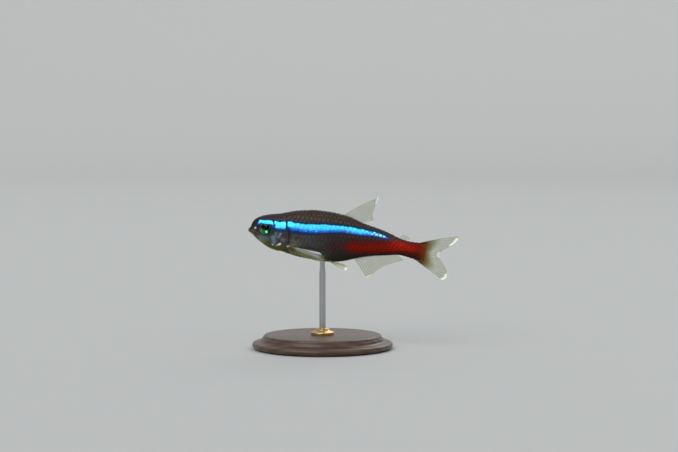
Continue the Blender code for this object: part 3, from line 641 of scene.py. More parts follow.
def round_off(points):
    """Narrows the stalk behind the body to an edge, by a quarter ellipse, where the tail fin grows out."""
    past = np.clip((points[..., 0] - 1) / TAIL_CAP, 0, 1)
    close = np.sqrt(1 - past**2)
    points[..., 1] *= 0.12 + 0.88 * close
    points[..., 2] *= 0.90 + 0.10 * close
    return points


def head_relief(points, x, z):
    """Relief of the bare head, in standard lengths, and the painted shade of its creases.

    Grooves and ridges are bell curves of the distance to their lines, the gill cover ends in a step,
    and the eye sockets, nostrils and vent are bowls round their middles.
    """
    # crease is the share of painted shade: the gape, the gill slit, the gill cover's front edge, the eye
    # sockets' rims and the nostrils are darkened
    relief, crease = np.zeros_like(x), np.zeros_like(x)
    mouth, share = signed_distance(MOUTH, x, z)
    fade = 1 - ease(0.86, 1.0, share)
    lips = 1 - ease(0.55, 0.85, share)
    near = bell(mouth, 0.0016) * fade
    relief += 0.0030 * bell(np.abs(mouth) - 0.0046, 0.0028) * lips - 0.0042 * near
    crease += near
    relief += 0.0016 * bell(signed_distance(MAXILLA, x, z)[0], 0.004)
    slit, share = signed_distance(GILL_SLIT, x, z)
    open_edge = ease(0.02, 0.12, share) * (1 - 0.75 * ease(0.66, 0.88, share))
    cover = np.where(slit < 0, bell(slit, 0.030), 1 - ease(0, 0.0022, slit))
    groove = np.where(slit > 0, bell(slit - 0.0020, 0.0050), 0)
    relief += (0.0034 * cover - 0.0048 * groove) * open_edge
    crease += 0.9 * bell(slit - 0.0020, 0.0026) * open_edge
    front, share = signed_distance(GILL_COVER_FRONT, x, z)
    ends = np.sin(np.pi * share) ** 0.5
    relief += (0.0012 * bell(front + 0.005, 0.006) - 0.0022 * bell(front, 0.0022)) * ends
    crease += 0.35 * bell(front, 0.0020) * ends
    for line, depth in ((CHEEK_LINE, 0.0014), (SUBOPERCLE_LINE, 0.0013)):
        across, share = signed_distance(line, x, z)
        relief -= depth * bell(across, 0.0018) * np.sin(np.pi * share) ** 0.5
    low = ease(-0.066, -0.080, z) * ease(0.13, 0.16, x) * (slit < 0)
    for ahead in THROAT_RAYS:
        relief -= 0.0011 * bell(slit + ahead, 0.0016) * low
    for side in (-1, 1):
        middle, _, _, outward = eye_frame(side)
        away = points - middle
        flat = away - (away @ outward)[..., None] * outward
        share = np.linalg.norm(flat, axis=-1) / EYE_RADIUS + 9 * (points[..., 1] * side < 0)
        relief += 0.0022 * bell(share - 1.12, 0.13) - 0.016 * (1 - ease(0.74, 0.99, share))
        crease += 0.6 * bell(share - 0.98, 0.05) * (1 - ease(0.030, 0.044, z))
        for place, angle, radius in NOSTRILS:
            pit = np.linalg.norm(points - flank(place, angle) * (1, side, 1), axis=-1) / radius
            relief += radius * (0.35 * bell(pit - 1.25, 0.35) - 1.25 * (1 - ease(0.35, 1.05, pit)))
            crease += 0.9 * (1 - ease(0.5, 1.1, pit))
    vent = np.linalg.norm(points - flank(VENT_PLACE, 180), axis=-1)
    relief += 0.0025 * bell(vent - 0.006, 0.003) - 0.004 * bell(vent, 0.0035)
    return relief, np.clip(crease, 0, 1)


def scaled_share(x, z):
    """0 on the bare head and 1 where scales cover the body, behind the gill slit and the nape."""
    behind = signed_distance(GILL_SLIT, x, z)[0]
    nape = np.interp(z, (0.085, 0.110), (0, 1))
    return np.where(nape > 0.5, ease(0.165, 0.185, x), ease(0.002, 0.016, behind))


def body_vectors(points, detail):
    """What the body's materials read: each point's straight place, markings, head patches and detail."""
    x, z = points[:, 0], points[:, 2]
    return {"straight": points, "marks": markings(x, z), "patches": patches(x, z), "detail": detail}


def skin_mesh(looks, material):
    """The whole skin: rings of flank points, moved along their normals by the relief less the coat's depth.

    The coat's depth counts only where scales cover the skin. Both ends close in a point.
    """
    angles = np.arange(SKIN_SIDES) * 360 / SKIN_SIDES
    places = ring_places()
    base = flank(places[:, None], np.broadcast_to(angles, (len(places), SKIN_SIDES)))
    x, z = base[..., 0].copy(), base[..., 2].copy()
    base = round_off(base)
    around = np.roll(base, -1, axis=1) - np.roll(base, 1, axis=1)
    normal = unit(np.cross(np.gradient(base, axis=0), around))
    relief, crease = head_relief(base, x, z)
    sink = looks.coat_depth / STANDARD_LENGTH * scaled_share(x, z)
    skin = base + normal * (relief - sink)[..., None]
    end = (1 + TAIL_CAP, 0, float(skin[-1, :, 2].mean()))
    points = np.concatenate([np.zeros((1, 3)), skin.reshape(-1, 3), [end]])
    detail = np.stack([crown(x, z), crease, stripe_rise(x, z)], axis=-1)
    detail = np.concatenate([detail[:1, 0], detail.reshape(-1, 3), detail[-1:, 0]])
    faces = capped_rings(len(places), SKIN_SIDES)
    return new_piece("body_skin", swim(points), faces, body_vectors(points, detail), material)


class FlankMap:
    """Flank angles by arc length from the back: a table of stations by even shares of the section's arc."""

    def __init__(self, stations):
        angles = np.broadcast_to(FLANK_ANGLES, (len(stations), len(FLANK_ANGLES)))
        strides = np.linalg.norm(np.diff(flank(stations[:, None], angles), axis=1), axis=2)
        arcs = np.concatenate([np.zeros((len(stations), 1)), np.cumsum(strides, axis=1)], axis=1)
        shares = np.linspace(0, 1, len(FLANK_ANGLES))
        self.stations, self.arcs = stations, arcs
        self.table = np.array([np.interp(shares * line[-1], line, FLANK_ANGLES) for line in arcs])

    def whole(self, x):
        """The section's arc length from the back to the belly."""
        return np.interp(x, self.stations, self.arcs[:, -1])

    def upper(self, x):
        """Its part above the line where the body is widest."""
        return np.interp(x, self.stations, self.arcs[:, len(FLANK_ANGLES) // 2])

    def angle(self, x, arc):
        """The flank angle at an arc length from the back, read between the table's rows and columns.

        Past the back's middle line the angle is negative, and past the belly's it is over 180.
        """
        share = arc / self.whole(x)
        folded = np.abs(share)
        folded = np.where(folded > 1, 2 - folded, folded)
        rows, columns = self.table.shape
        row = np.clip((x - self.stations[0]) / (self.stations[1] - self.stations[0]), 0, rows - 1.001)
        column = np.clip(folded * (columns - 1), 0, columns - 1.001)
        i, j = row.astype(int), column.astype(int)
        u, v = row - i, column - j
        angle = (self.table[i, j] * (1 - u) + self.table[i + 1, j] * u) * (1 - v)
        angle += (self.table[i, j + 1] * (1 - u) + self.table[i + 1, j + 1] * u) * v
        angle = np.where(share < 0, -angle, angle)
        return np.where(share > 1, 360 - angle, angle)


def row_spacing(x):
    """Distance of two rows of scales round the body, which closes in towards the tail."""
    return np.interp(x, (0.20, 0.45, 0.75, 1.0), (0.0250, 0.0262, 0.0205, 0.0170))


def scale_roots(flanks, pitch):
    """Rows, places and arc lengths of the roots of one side's scales.

    They stand in a lattice: rows keep their distance from the line where the body is widest, and every
    second row is set half a scale back. Roots on the bare head or well past the middle lines are left out.
    """
    rows, columns = np.arange(-SCALE_ROWS, SCALE_ROWS + 1), np.arange(SCALE_COLUMNS)
    row, column = np.meshgrid(rows, columns, indexing="ij")
    x = SCALES_FROM + (column + 0.5 * (row % 2)) * pitch
    spacing = row_spacing(x)
    arc = flanks.upper(x) + row * spacing
    keep = (arc > -0.3 * spacing) & (arc < flanks.whole(x) + 0.3 * spacing)
    keep &= x < SCALES_TO - 0.05 * (row / SCALE_ROWS) ** 2
    height = flank(x, flanks.angle(x, arc))[..., 2]
    behind = signed_distance(GILL_SLIT, x, height)[0]
    keep &= np.where(height > 0.092, x > 0.172, behind > 0.45 * pitch)
    return row[keep], x[keep], arc[keep]


def on_both_faces(values):
    """Values on every plate's grid, repeated for its upper and its under face."""
    values = values.reshape(len(values), 1, -1, values.shape[-1])
    return np.broadcast_to(values, (len(values), 2, *values.shape[2:]))


def lay_plates(flanks, row, x, u, v, jitter, looks):
    """The two faces of every plate on the right flank, from its root and its disc's places u and v.

    A plate is 2.1 pitches long and shifts and leans a little at random. It rises evenly from a sunk root
    to a free rear edge, so that each lies over the next. The first plates of the middle row carry the
    tubes of the side line.
    """
    pitch = looks.scale_pitch / STANDARD_LENGTH
    row, x = row[:, None, None], x[:, None, None]
    lean = np.radians(3.0 * jitter[0])
    size = 1 + 0.035 * jitter[1]
    along = 1.05 * pitch * size * (u * np.cos(lean) - v * np.sin(lean))
    across = 0.98 * size * (v * np.cos(lean) + u * np.sin(lean))
    place = x + 0.03 * pitch * jitter[2] + along
    level = flanks.upper(place) + (row + across) * row_spacing(place)
    angle = flanks.angle(place, level)
    root, tip = -looks.scale_sink / STANDARD_LENGTH, looks.scale_rise / STANDARD_LENGTH
    lift = root + (tip - root) * (u + 1) / 2 - 0.0003 * v * v + 0.00012 * jitter[3]
    tube = 0.0007 * bell(v, 0.16) * bell(u - 0.25, 0.35) * ((row == 0) & (x < 0.34))
    hug = 0.30 * np.maximum(place - 0.985, 0)
    thick = looks.scale_thickness / STANDARD_LENGTH * (1 - 0.75 * (u * u + v * v))
    top = off_flank(place, angle, lift + tube + thick / 2 - hug)
    under = off_flank(place, angle, lift - thick / 2 - hug)
    return np.stack([top.reshape(len(x), -1, 3), under.reshape(len(x), -1, 3)], axis=1)


def scale_plates(name, side, looks, material):
    """The scales of one side as joined plates.

    A plate is a disc, mapped from a square grid of places a and b by u = a sqrt(1 - b b / 2) and
    v = b sqrt(1 - a a / 2). Its two faces close along a thin rim. The left side is mirrored.
    """
    random = np.random.default_rng(SCALE_SEED + side)
    flanks = FlankMap(SCALE_STATIONS)
    row, x, arc = scale_roots(flanks, looks.scale_pitch / STANDARD_LENGTH)
    count, cells = len(x), (SCALE_CELLS + 1) ** 2
    a, b = np.meshgrid(*[np.linspace(-1, 1, SCALE_CELLS + 1)] * 2, indexing="ij")
    u, v = a * np.sqrt(1 - b * b / 2), b * np.sqrt(1 - a * a / 2)
    straight = lay_plates(flanks, row, x, u, v, random.normal(size=(4, count, 1, 1)), looks)
    plate = closed_sheet(SCALE_CELLS + 1, SCALE_CELLS + 1)
    faces = (plate[None] + (np.arange(count) * 2 * cells)[:, None, None]).reshape(-1, 4)
    if side < 0:
        straight[..., 1] *= -1
        faces = faces[:, ::-1]
    points = straight.reshape(-1, 3)
    height, rise = crown(points[:, 0], points[:, 2]), stripe_rise(points[:, 0], points[:, 2])
    vectors = body_vectors(points, np.stack([height, np.zeros(len(points)), rise], axis=-1))
    chance = random.random(count)[:, None, None]
    vectors["plate"] = on_both_faces(np.stack(np.broadcast_arrays(u, v, chance), axis=-1))
    piece = new_piece(name, swim(points), [faces], vectors, material)
    turn = flanks.angle(x, arc) / 360
    turn = turn if side > 0 else 1 - turn
    patch = np.stack([0.03 + 0.9 * x, 0.03 + 0.94 * turn], axis=-1)[:, None, None]
    unwrap = on_both_faces(patch + 0.0015 * np.stack([u, v], axis=-1)[None]).reshape(-1, 2)
    layer = piece.data.uv_layers.new(name="OFBake")
    layer.data.foreach_set("uv", unwrap[faces.ravel()].astype(np.float32).ravel())
    return piece


def revolve(name, profile, sides, material):
    """A profile of (radius, height) points carried round the upright axis, its two ends on the axis."""
    points = np.column_stack(turned_points(profile, sides))
    return new_piece(name, points, capped_rings(len(profile) - 2, sides, flip=True), {}, material)


def distance(x, y):
    """Length of the vector of two sockets."""
    return (x * x + y * y) ** 0.5


class BodyFields:
    """Places, markings and noises that the body's colours are mixed by."""

    def __init__(self, finish, on_scales):
        straight = finish.read("straight")
        self.along, _, self.level = finish.parts(straight)
        self.glow, self.deep, self.red = finish.parts(finish.read("marks"))
        self.silver, self.warm, self.dark = finish.parts(finish.read("patches"))
        self.height, self.crease, self.rise = finish.parts(finish.read("detail"))
        self.grain = finish.noise(straight, 420.0, 1.0)
        self.fleck = finish.noise(straight, 200.0, 1.0)
        self.mottle = finish.noise(straight, 95.0, 3.0)
        self.blotch = finish.noise(straight, 46.0, 2.0)
        self.cloud = finish.noise(straight, 22.0, 2.0)
        tall = finish.node("ShaderNodeMapping", None, {"Vector": straight, "Scale": (1, 1, 0.22)})
        self.streak = finish.noise(tall, 120.0, 2.0)
        self.ragged = (self.mottle - 0.5) * 0.008
        self.on_scales = on_scales
        if on_scales:
            self.rearward, self.sideward, self.chance = finish.parts(finish.read("plate"))
            self.ragged = self.ragged + (self.chance - 0.5) * 0.003
            self.reach = distance(finish.maths("MAXIMUM", self.rearward, -0.2), self.sideward)


def ground_layers(finish, body, looks):
    """Layers of the back, flank, cheek, belly and throat over the flank's colour, and the gleams' share."""
    step, along, height = finish.step, body.along, body.height
    back = finish.mix(step(body.blotch, 0.48, 0.66) * 0.8, looks.back_colour, looks.back_plum)
    front = 1 - step(along, 0.30, 0.50)
    cheek = step(along, 0.05, 0.15) * (1 - step(along, 0.235, 0.25)) * step(height, 0.25, -0.1)
    blue = (1 - 0.6 * step(along, 0.168, 0.190)) * step(body.blotch * 0.6 + body.mottle * 0.4, 0.40, 0.62)
    chin = step(body.level + (body.mottle - 0.5) * 0.02, -0.048, -0.080) * (1 - step(along, 0.17, 0.28))
    gleams = step(body.streak, 0.40, 0.70) * step(along, 0.235, 0.255) * front
    gleams = gleams * step(height, 0.15, -0.35) * step(height, -0.98, -0.70)
    sheen = step(along, 0.228, 0.242) * step(along, 0.33, 0.26) * step(height, -0.14, -0.38)
    sheen = sheen * step(height, -0.95, -0.78) * (0.55 + 0.45 * body.streak)
    layers = (
        (step(height, -0.1, 0.55), back),
        (step(along, 0.22, 0.14) * step(height, 0.1, 0.5) * 0.75, looks.crown_colour),
        (front * step(height, 0.35, -0.05) * body.blotch, looks.front_colour),
        (step(height, -0.45, -0.80) * front, looks.belly_colour),
        (step(height, 0.1, -0.9) * step(along, 0.40, 0.60), looks.rear_colour),
        (cheek, looks.plum_colour),
        (cheek * blue, looks.cheek_colour),
        (step(body.cloud, 0.30, 0.75) * 0.30, looks.sheen_colour),
        (chin * 0.95, looks.throat_colour),
        (gleams * 0.7, looks.silver_colour),
        (sheen, looks.gill_sheen),
        (step(along, 0.60, 0.80) * step(body.level, 0.05, -0.01), looks.maroon_colour),
    )
    return layers, gleams


def red_layers(finish, body, looks):
    """Layers of the red band in its haze, the tail's blush and dark pits over all, and the band's share."""
    step, along = finish.step, body.along
    inside = body.red + body.ragged * 1.5
    band = step(inside, -0.013, 0.014)
    stalk = step(along, 0.82, 0.90)
    bright = step(inside - 0.006 * stalk, 0.007, 0.024) * (0.28 + 0.72 * step(along, 0.76, 0.88))
    layers = (
        (step(inside, -0.042, -0.004) * 0.6, looks.red_haze),
        (band, looks.red_colour),
        (stalk * step(body.level, 0.006, -0.020) * 0.6, looks.maroon_colour),
        (bright * (1 - step(along, 0.94, 1.0)) * 0.9, looks.bright_red),
        (step(along, 0.970, 1.018) * 0.60, looks.tail_tint),
        (step(body.grain, 0.58, 0.75) * 0.25, looks.pit_colour),
    )
    return layers, band


def scale_layers(finish, body, looks, red):
    """Layers of each scale's dark rear edge and, on the back, of a painted highlight on its middle."""
    step, along = finish.step, body.along
    upper = step(body.height, -0.1, 0.5)
    edge = step(body.reach, 0.60, 0.97) * (0.12 + 0.20 * upper) * (1 - 0.6 * red)
    # spot is a painted highlight in the middle of each scale on the back
    spot = step(body.reach, 0.46, 0.06) * upper * (0.25 + 0.75 * body.chance) * step(along, 0.20, 0.36)
    spot = spot * (1 - step(along, 0.62, 0.78)) * step(body.blotch * 0.5 + body.mottle * 0.5, 0.36, 0.56)
    return (edge, looks.scale_edge), (spot * 0.85, looks.dot_colour)


def head_layers(finish, body, looks):
    """Layers of the head's warm, silver and dark places, with painted glints where the silver is brightest,
    and how bright the silver is.
    """
    shining = body.silver * (1.2 * body.mottle + 1.6 * body.grain - 0.4)
    layers = (
        (body.warm * (0.3 + 1.2 * body.mottle) * 0.85, looks.warm_colour),
        (shining * 0.9, looks.gleam_colour),
        # painted glints where the silver is brightest
        (finish.step(shining, 0.65, 1.20), looks.spark_colour),
        (body.dark * (0.5 + 0.9 * body.mottle) * 0.95, looks.dark_colour),
    )
    return layers, shining


def stripe_layers(finish, body, looks):
    """Layers of the blue stripe in its violet haze and deep edge, its light, and the share of its core.

    Its edges are ragged. The creases' painted shade cuts through it, and on the tail it breaks up into one
    bead a scale.
    """
    step, mix, along = finish.step, finish.mix, body.along
    clear = 1 - body.crease
    on_head = 1 - step(along, 0.20, 0.26)
    low = 1 - step(body.rise, 0.35, 0.75)
    deep = body.deep + body.ragged
    torn = body.glow + body.ragged + (body.grain - 0.5) * 0.017 * low
    haze = step(deep, -0.018, 0.002) * clear * step(along, 0.042, 0.054) * (0.35 + 0.65 * low)
    edge = step(deep, -0.004, 0.004) * clear
    royal = step(torn, -0.017, -0.002) * low * (1 - 0.65 * on_head)
    dots = step(body.fleck, 0.60, 0.68) * step(body.glow, -0.013, -0.006) * low * step(along, 0.26, 0.30)
    core = step(torn, -0.002, 0.006) * clear
    if body.on_scales:
        gaps = 1 - step(body.reach, 0.95, 0.55)
        core = core * (1 - gaps * (0.12 + 0.84 * step(along, 0.60, 0.72)))
    high = step(body.rise + (body.mottle - 0.5) * 0.7 + on_head * 0.35, -0.05, 0.45)
    stripe = finish.paint(
        looks.stripe_low,
        (high, looks.stripe_colour),
        (step(body.fleck * 0.7 + body.mottle * 0.3, 0.48, 0.38) * 0.6, looks.stripe_low),
        (step(body.fleck * 0.6 + body.grain * 0.4, 0.50, 0.62) * 0.6, looks.sparkle_colour),
        (step(along, 0.66, 0.76) * 0.75, looks.bead_colour),
    )
    layers = (
        (haze * 0.85, looks.violet_colour),
        (edge, mix(royal, mix(low, looks.edge_dark, looks.edge_colour), looks.royal_colour)),
        (dots * edge * 0.8, looks.bead_colour),
        (core, stripe),
        # painted shade in the creases
        (body.crease * 0.85, looks.crease_colour),
    )
    light = finish.paint(
        (0, 0, 0),
        (edge * low, mix(royal, looks.edge_glow, looks.royal_glow)),
        (core, mix(high, looks.stripe_low_glow, looks.stripe_glow)),
    )
    return layers, light, core


def body_finish(looks, name, on_scales):
    """Wet skin, or the scales over it, both painted in the same layers.

    The scales' fine rings are a sine of the distance to a point ahead of each scale's middle.
    """
    finish = Finish(name)
    body = BodyFields(finish, on_scales)
    ground, gleams = ground_layers(finish, body, looks)
    red, band = red_layers(finish, body, looks)
    scales = scale_layers(finish, body, looks, band) if on_scales else ()
    head, shining = head_layers(finish, body, looks)
    stripe, light, core = stripe_layers(finish, body, looks)
    # spark is the painted glow of the glints, bluish at the nostril and warm behind the eye
    spark = finish.mix(finish.step(body.along, 0.06, 0.12), looks.spark_glow, looks.warm_spark_glow)
    shine = finish.maths("MAXIMUM", core, gleams * 0.7)
    shine = finish.maths("MAXIMUM", shine, finish.step(shining, 0.2, 1.0))
    if on_scales:
        rings = finish.maths("SINE", distance(body.rearward + 0.3, body.sideward) * 58.0)
        fine = finish.bump(rings * 0.35 + body.grain * 0.5, 0.000006, 0.6)
    else:
        fine = finish.bump(body.grain * 0.5 + body.mottle, 0.000010, 0.7)
    return finish.surface({
        "Base Color": finish.paint(looks.flank_colour, *ground, *red, *scales, *head, *stripe),
        # Emission is painted light: the stripe's glow and the glow of the glints on the head's brightest
        # silver
        "Emission Color": finish.mix(finish.step(shining, 0.9, 1.5) * (1 - core), light, spark),
        "Emission Strength": 1.0, "Metallic": 0.25 + shine * 0.30,
        "Roughness": (0.38 if on_scales else 0.40) - shine * 0.08, "Normal": fine,
        "Specular IOR Level": 0.10, "Coat Weight": 0.03 if on_scales else 0.04, "Coat Roughness": 0.12,
    })


def eye_finish(looks):
    """Pupil, iris with a painted highlight, and the stripe's blue across its top, by place on the eye in
    radii of the orbit.
    """
    finish = Finish("eye_iris")
    step, place = finish.step, finish.read("iris")
    tailward, upward, _ = finish.parts(place)
    fibres = finish.noise(place, 9.0, 3.0)
    frayed = fibres - 0.5

    def spot(right, high, size):
        """A soft round spot with a frayed edge."""
        return step(distance(tailward - right, upward - high) + frayed * 0.2, size, 0.4 * size)

    # mint is a painted highlight on the lower iris, and it is given a painted glow
    mint = spot(0.32, -0.42, 0.23)
    brow = step(upward + frayed * 0.10, 0.50, 0.64)
    top = step(upward + frayed * 0.08, 0.74, 0.84)
    from_pupil = distance((tailward - 0.06) * 1.58, (upward - 0.28) * 2.15)
    pupil = step(from_pupil + frayed * 0.06, 1.04, 0.94) * (1 - brow)
    colour = finish.paint(
        looks.iris_dark,
        (step(upward, 0.20, -0.25) * (1 - step(tailward, 0.40, 0.72)), looks.iris_green),
        (step(fibres, 0.50, 0.75) * 0.5, looks.iris_dark),
        (spot(-0.42, -0.28, 0.30) * 0.8, looks.iris_leaf),
        (mint, looks.iris_mint),
        (step(distance(tailward, upward), 0.74, 0.90) * 0.92, looks.iris_rim),
        (brow, looks.edge_colour),
        (top, looks.stripe_colour),
        (pupil, looks.pupil_colour),
    )
    # Painted light: the stripe's glow over the eye and the glow of the iris's painted highlight
    light = finish.paint((0, 0, 0), (top, looks.stripe_glow), (mint * (1 - pupil), looks.mint_glow))
    return finish.surface({
        "Base Color": colour, "Emission Color": light, "Emission Strength": 1.0,
        "Metallic": 0.30 * (1 - pupil), "Roughness": 0.30 - 0.15 * pupil, "Specular IOR Level": 0.08,
        "Normal": finish.bump(fibres, 0.00001, 0.5), "Coat Weight": 0.03, "Coat Roughness": 0.05,
    })


def cornea_finish():
    """Clear wet horn: a mirror that is nearly all let through, and less so at a slant."""
    finish = Finish("cornea")
    slant = finish.node("ShaderNodeFresnel", None, {"IOR": 1.38})
    return finish.surface({
        "Base Color": (1, 1, 1), "Metallic": 1.0, "Roughness": 0.03, "Alpha": slant * 0.14 + 0.002,
    })


def fin_finish(looks, name, pale, glow):
    """Clear membrane with paler jointed rays, pale margins that glow a little and an orange flush."""
    finish = Finish(name)
    ray, white, flush = finish.parts(finish.read("fin"))
    across, out, thick = finish.parts(finish.read("span"))
    joints = finish.maths("SINE", out * 190.0)
    cloud = finish.noise(finish.read("span"), 6.0, 3.0)
    speck = finish.step(finish.noise(finish.read("straight"), 260.0, 1.0), 0.62, 0.72)
    colour = finish.paint(
        looks.membrane_colour,
        (ray * 0.85, looks.ray_colour),
        (speck * (1 - white) * 0.5, looks.fin_speck),
        (flush, looks.tail_tint),
        (white, finish.mix(finish.step(across, 0.13, 0.03) * 0.75, pale, looks.white_edge)),
    )
    alpha = 0.09 + 0.13 * cloud + 0.20 * ray + 0.80 * white + 0.75 * flush + 0.15 * thick + 0.12 * speck
    return finish.surface({
        "Base Color": colour, "Alpha": finish.maths("MINIMUM", alpha, 1.0),
        "Roughness": 0.34, "Specular IOR Level": 0.25,
        "Normal": finish.bump(joints * ray * 0.5 + cloud, 0.000012, 0.5),
        "Emission Color": finish.mix(white, (0, 0, 0), tuple(glow * part for part in pale)),
        "Emission Strength": 1.0,
    })


def wood_finish(looks):
    """Oiled walnut: rings round an axis laid along the board, with fine pores drawn out along it."""
    finish = Finish("walnut")
    place = finish.node("ShaderNodeTexCoord", output="Object")
    board = finish.node("ShaderNodeMapping", None, {
        "Vector": place, "Location": (0.004, 0.021, 0.016), "Rotation": (0.05, 0.09, 0.62),
        "Scale": (0.10, 1, 1),
    })
    warp = finish.noise(board, 160.0, 3.0)
    rings = finish.node("ShaderNodeTexWave", {"wave_type": "RINGS", "rings_direction": "X"}, {
        "Vector": board, "Scale": 240.0, "Distortion": 2.2, "Detail": 3.0, "Detail Scale": 1.4,
    })
    drawn = finish.node("ShaderNodeMapping", None, {
        "Vector": place, "Rotation": (0, 0, 0.62), "Scale": (0.06, 1, 1),
    })
    pores = finish.step(finish.noise(drawn, 3400.0, 1.0), 0.60, 0.70)
    colour = finish.mix(rings * 0.6 + warp * 0.4, looks.wood_light, looks.wood_dark)
    return finish.surface({
        "Base Color": finish.mix(pores * 0.7, colour, looks.wood_pores), "Roughness": 0.36 + 0.12 * warp,
        "Coat Weight": 0.25, "Coat Roughness": 0.2, "Normal": finish.bump(1 - pores, 0.00002, 0.6),
    })


def metal_finish(name, colour, turned):
    """Brushed metal: fine lines that run round a turned piece, or along a drawn rod."""
    finish = Finish(name)
    place = finish.node("ShaderNodeTexCoord", output="Object")
    stretch = (0.05, 0.05, 1) if turned else (1, 1, 0.04)
    lines = finish.node("ShaderNodeMapping", None, {"Vector": place, "Scale": stretch})
    brushed = finish.noise(lines, 26000.0, 2.0)
    tarnish = finish.noise(place, 1800.0, 3.0)
    dull = tuple(0.72 * part for part in colour)
    return finish.surface({
        "Base Color": finish.mix(tarnish * 0.5, colour, dull), "Metallic": 1.0,
        "Roughness": 0.20 + 0.22 * brushed, "Normal": finish.bump(brushed, 0.000004, 0.5),
    })


def floor_finish(looks):
    """Pale card with faint clouds."""
    finish = Finish("pale_floor")
    shade = finish.noise(finish.node("ShaderNodeTexCoord", output="Object"), 900.0, 2.0)
    darker = tuple(0.94 * part for part in looks.floor_colour)
    colour = finish.mix(shade * 0.2, looks.floor_colour, darker)
    return finish.surface({"Base Color": colour, "Roughness": 0.8, "Specular IOR Level": 0.1})


def ball_profile():
    """An eyeball's outline from front to back, as (share of its radius, height off the cheek).

    A lens, which is part of an ellipse, fills the pupil. The shallow iris round it dips under the orbit's
    rim, and the back is a quarter ellipse.
    """
    share = np.array([0.12, 0.24, 0.36, 0.46, 0.54, 0.58, 0.62, 0.68, 0.76, 0.84, 0.91, 0.96, 0.99, 1.0])
    lens = LENS_RISE * np.sqrt(np.maximum(1 - (share / PUPIL_REACH) ** 2, 0))
    iris = -0.0016 + 0.0016 * bell(share - 0.74, 0.16) - 0.009 * ease(0.88, 1.0, share)
    front = np.stack([share, np.where(share < PUPIL_REACH, lens, iris)], axis=1)
    back = ellipse_arc((0, BALL_RIM), (1, -BALL_DEPTH), 0, 90, 9)[1:-1]
    return np.concatenate([[(0, LENS_RISE)], front, back, [(0, BALL_RIM - BALL_DEPTH)]])


def cornea_profile():
    """A cornea's outline in the same terms: a low dome, flatter at its rim, and a floor close under it."""
    turn = np.linspace(0, 1, 13)[1:]
    reach = np.sin(turn * CORNEA_TURN) / math.sin(CORNEA_TURN) * CORNEA_REACH
    height = CORNEA_FOOT + CORNEA_RISE * np.cos(turn * CORNEA_TURN)
    height -= 0.3 * CORNEA_RISE * math.cos(CORNEA_TURN) * ease(0.6, 1.0, turn)
    dome = np.stack([reach, height], axis=1)
    floor = dome[::-3] * (0.99, 1) - (0, CORNEA_THICKNESS)
    top = CORNEA_FOOT + CORNEA_RISE
    return np.concatenate([[(0, top)], dome, floor, [(0, top - CORNEA_THICKNESS)]])


def eye_piece(name, side, profile, material):
    """A closed shape, turned about the cheek's normal, on one eye."""
    middle, tailward, upward, outward = eye_frame(side)
    across, height = turned_points(profile, EYE_SIDES)
    across = across * EYE_SPREAD
    flat = EYE_RADIUS * (across[:, :1] * tailward + across[:, 1:] * upward)
    points = middle + flat + height[:, None] * outward
    faces = capped_rings(len(profile) - 2, EYE_SIDES, bool(np.cross(tailward, upward) @ outward < 0))
    return new_piece(name, swim(points), faces, {"iris": np.pad(across, ((0, 0), (0, 1)))}, material)


def branching(across, out, split, split_again):
    """Height of the rays, 0 to 1: a bell curve across each ray, which forks in two and then in four."""
    offset = across % 1 - 0.5
    fork = 0.15 * ease(*split, out)
    twig = 0.075 * ease(*split_again, out)
    width = 0.115 - 0.065 * ease(split[0], split_again[1], out)
    heights = [bell(offset - one * fork - two * twig, width) for one in (-1, 1) for two in (-1, 1)]
    return np.max(heights, axis=0)


def fin_shades(across, v, ray, rays, white, silver, flush, flush_reach):
    """What a fin's material reads: (ray, pale, flush) and (place across, place outwards, thick root)."""
    share = across / rays
    pale = np.zeros_like(ray)
    for first, last, width, strength in white:
        spread = ease(first - 0.02, first + 0.02, share) * (1 - ease(last - 0.02, last + 0.02, share))
        pale = np.maximum(pale, strength * spread * ease(1 - 1.6 * width, 1 - 0.5 * width, v))
    blade = ease(0.08, 0.26, v) * (1 - ease(0.80, 0.97, v)) * (1 - ease(0.24, 0.50, share))
    pale = np.maximum(pale, silver * blade * (0.50 + 0.50 * np.sin(across * 2.9 + 6 * v) ** 2))
    warm = flush * (1 - ease(0.03, flush_reach, v))
    thick = 1 - ease(0.0, 0.14, v)
    fin = np.stack(np.broadcast_arrays(ray, pale, warm), axis=-1)
    span = np.stack(np.broadcast_arrays(share, v, thick), axis=-1)
    return fin.reshape(-1, 3), span.reshape(-1, 3)


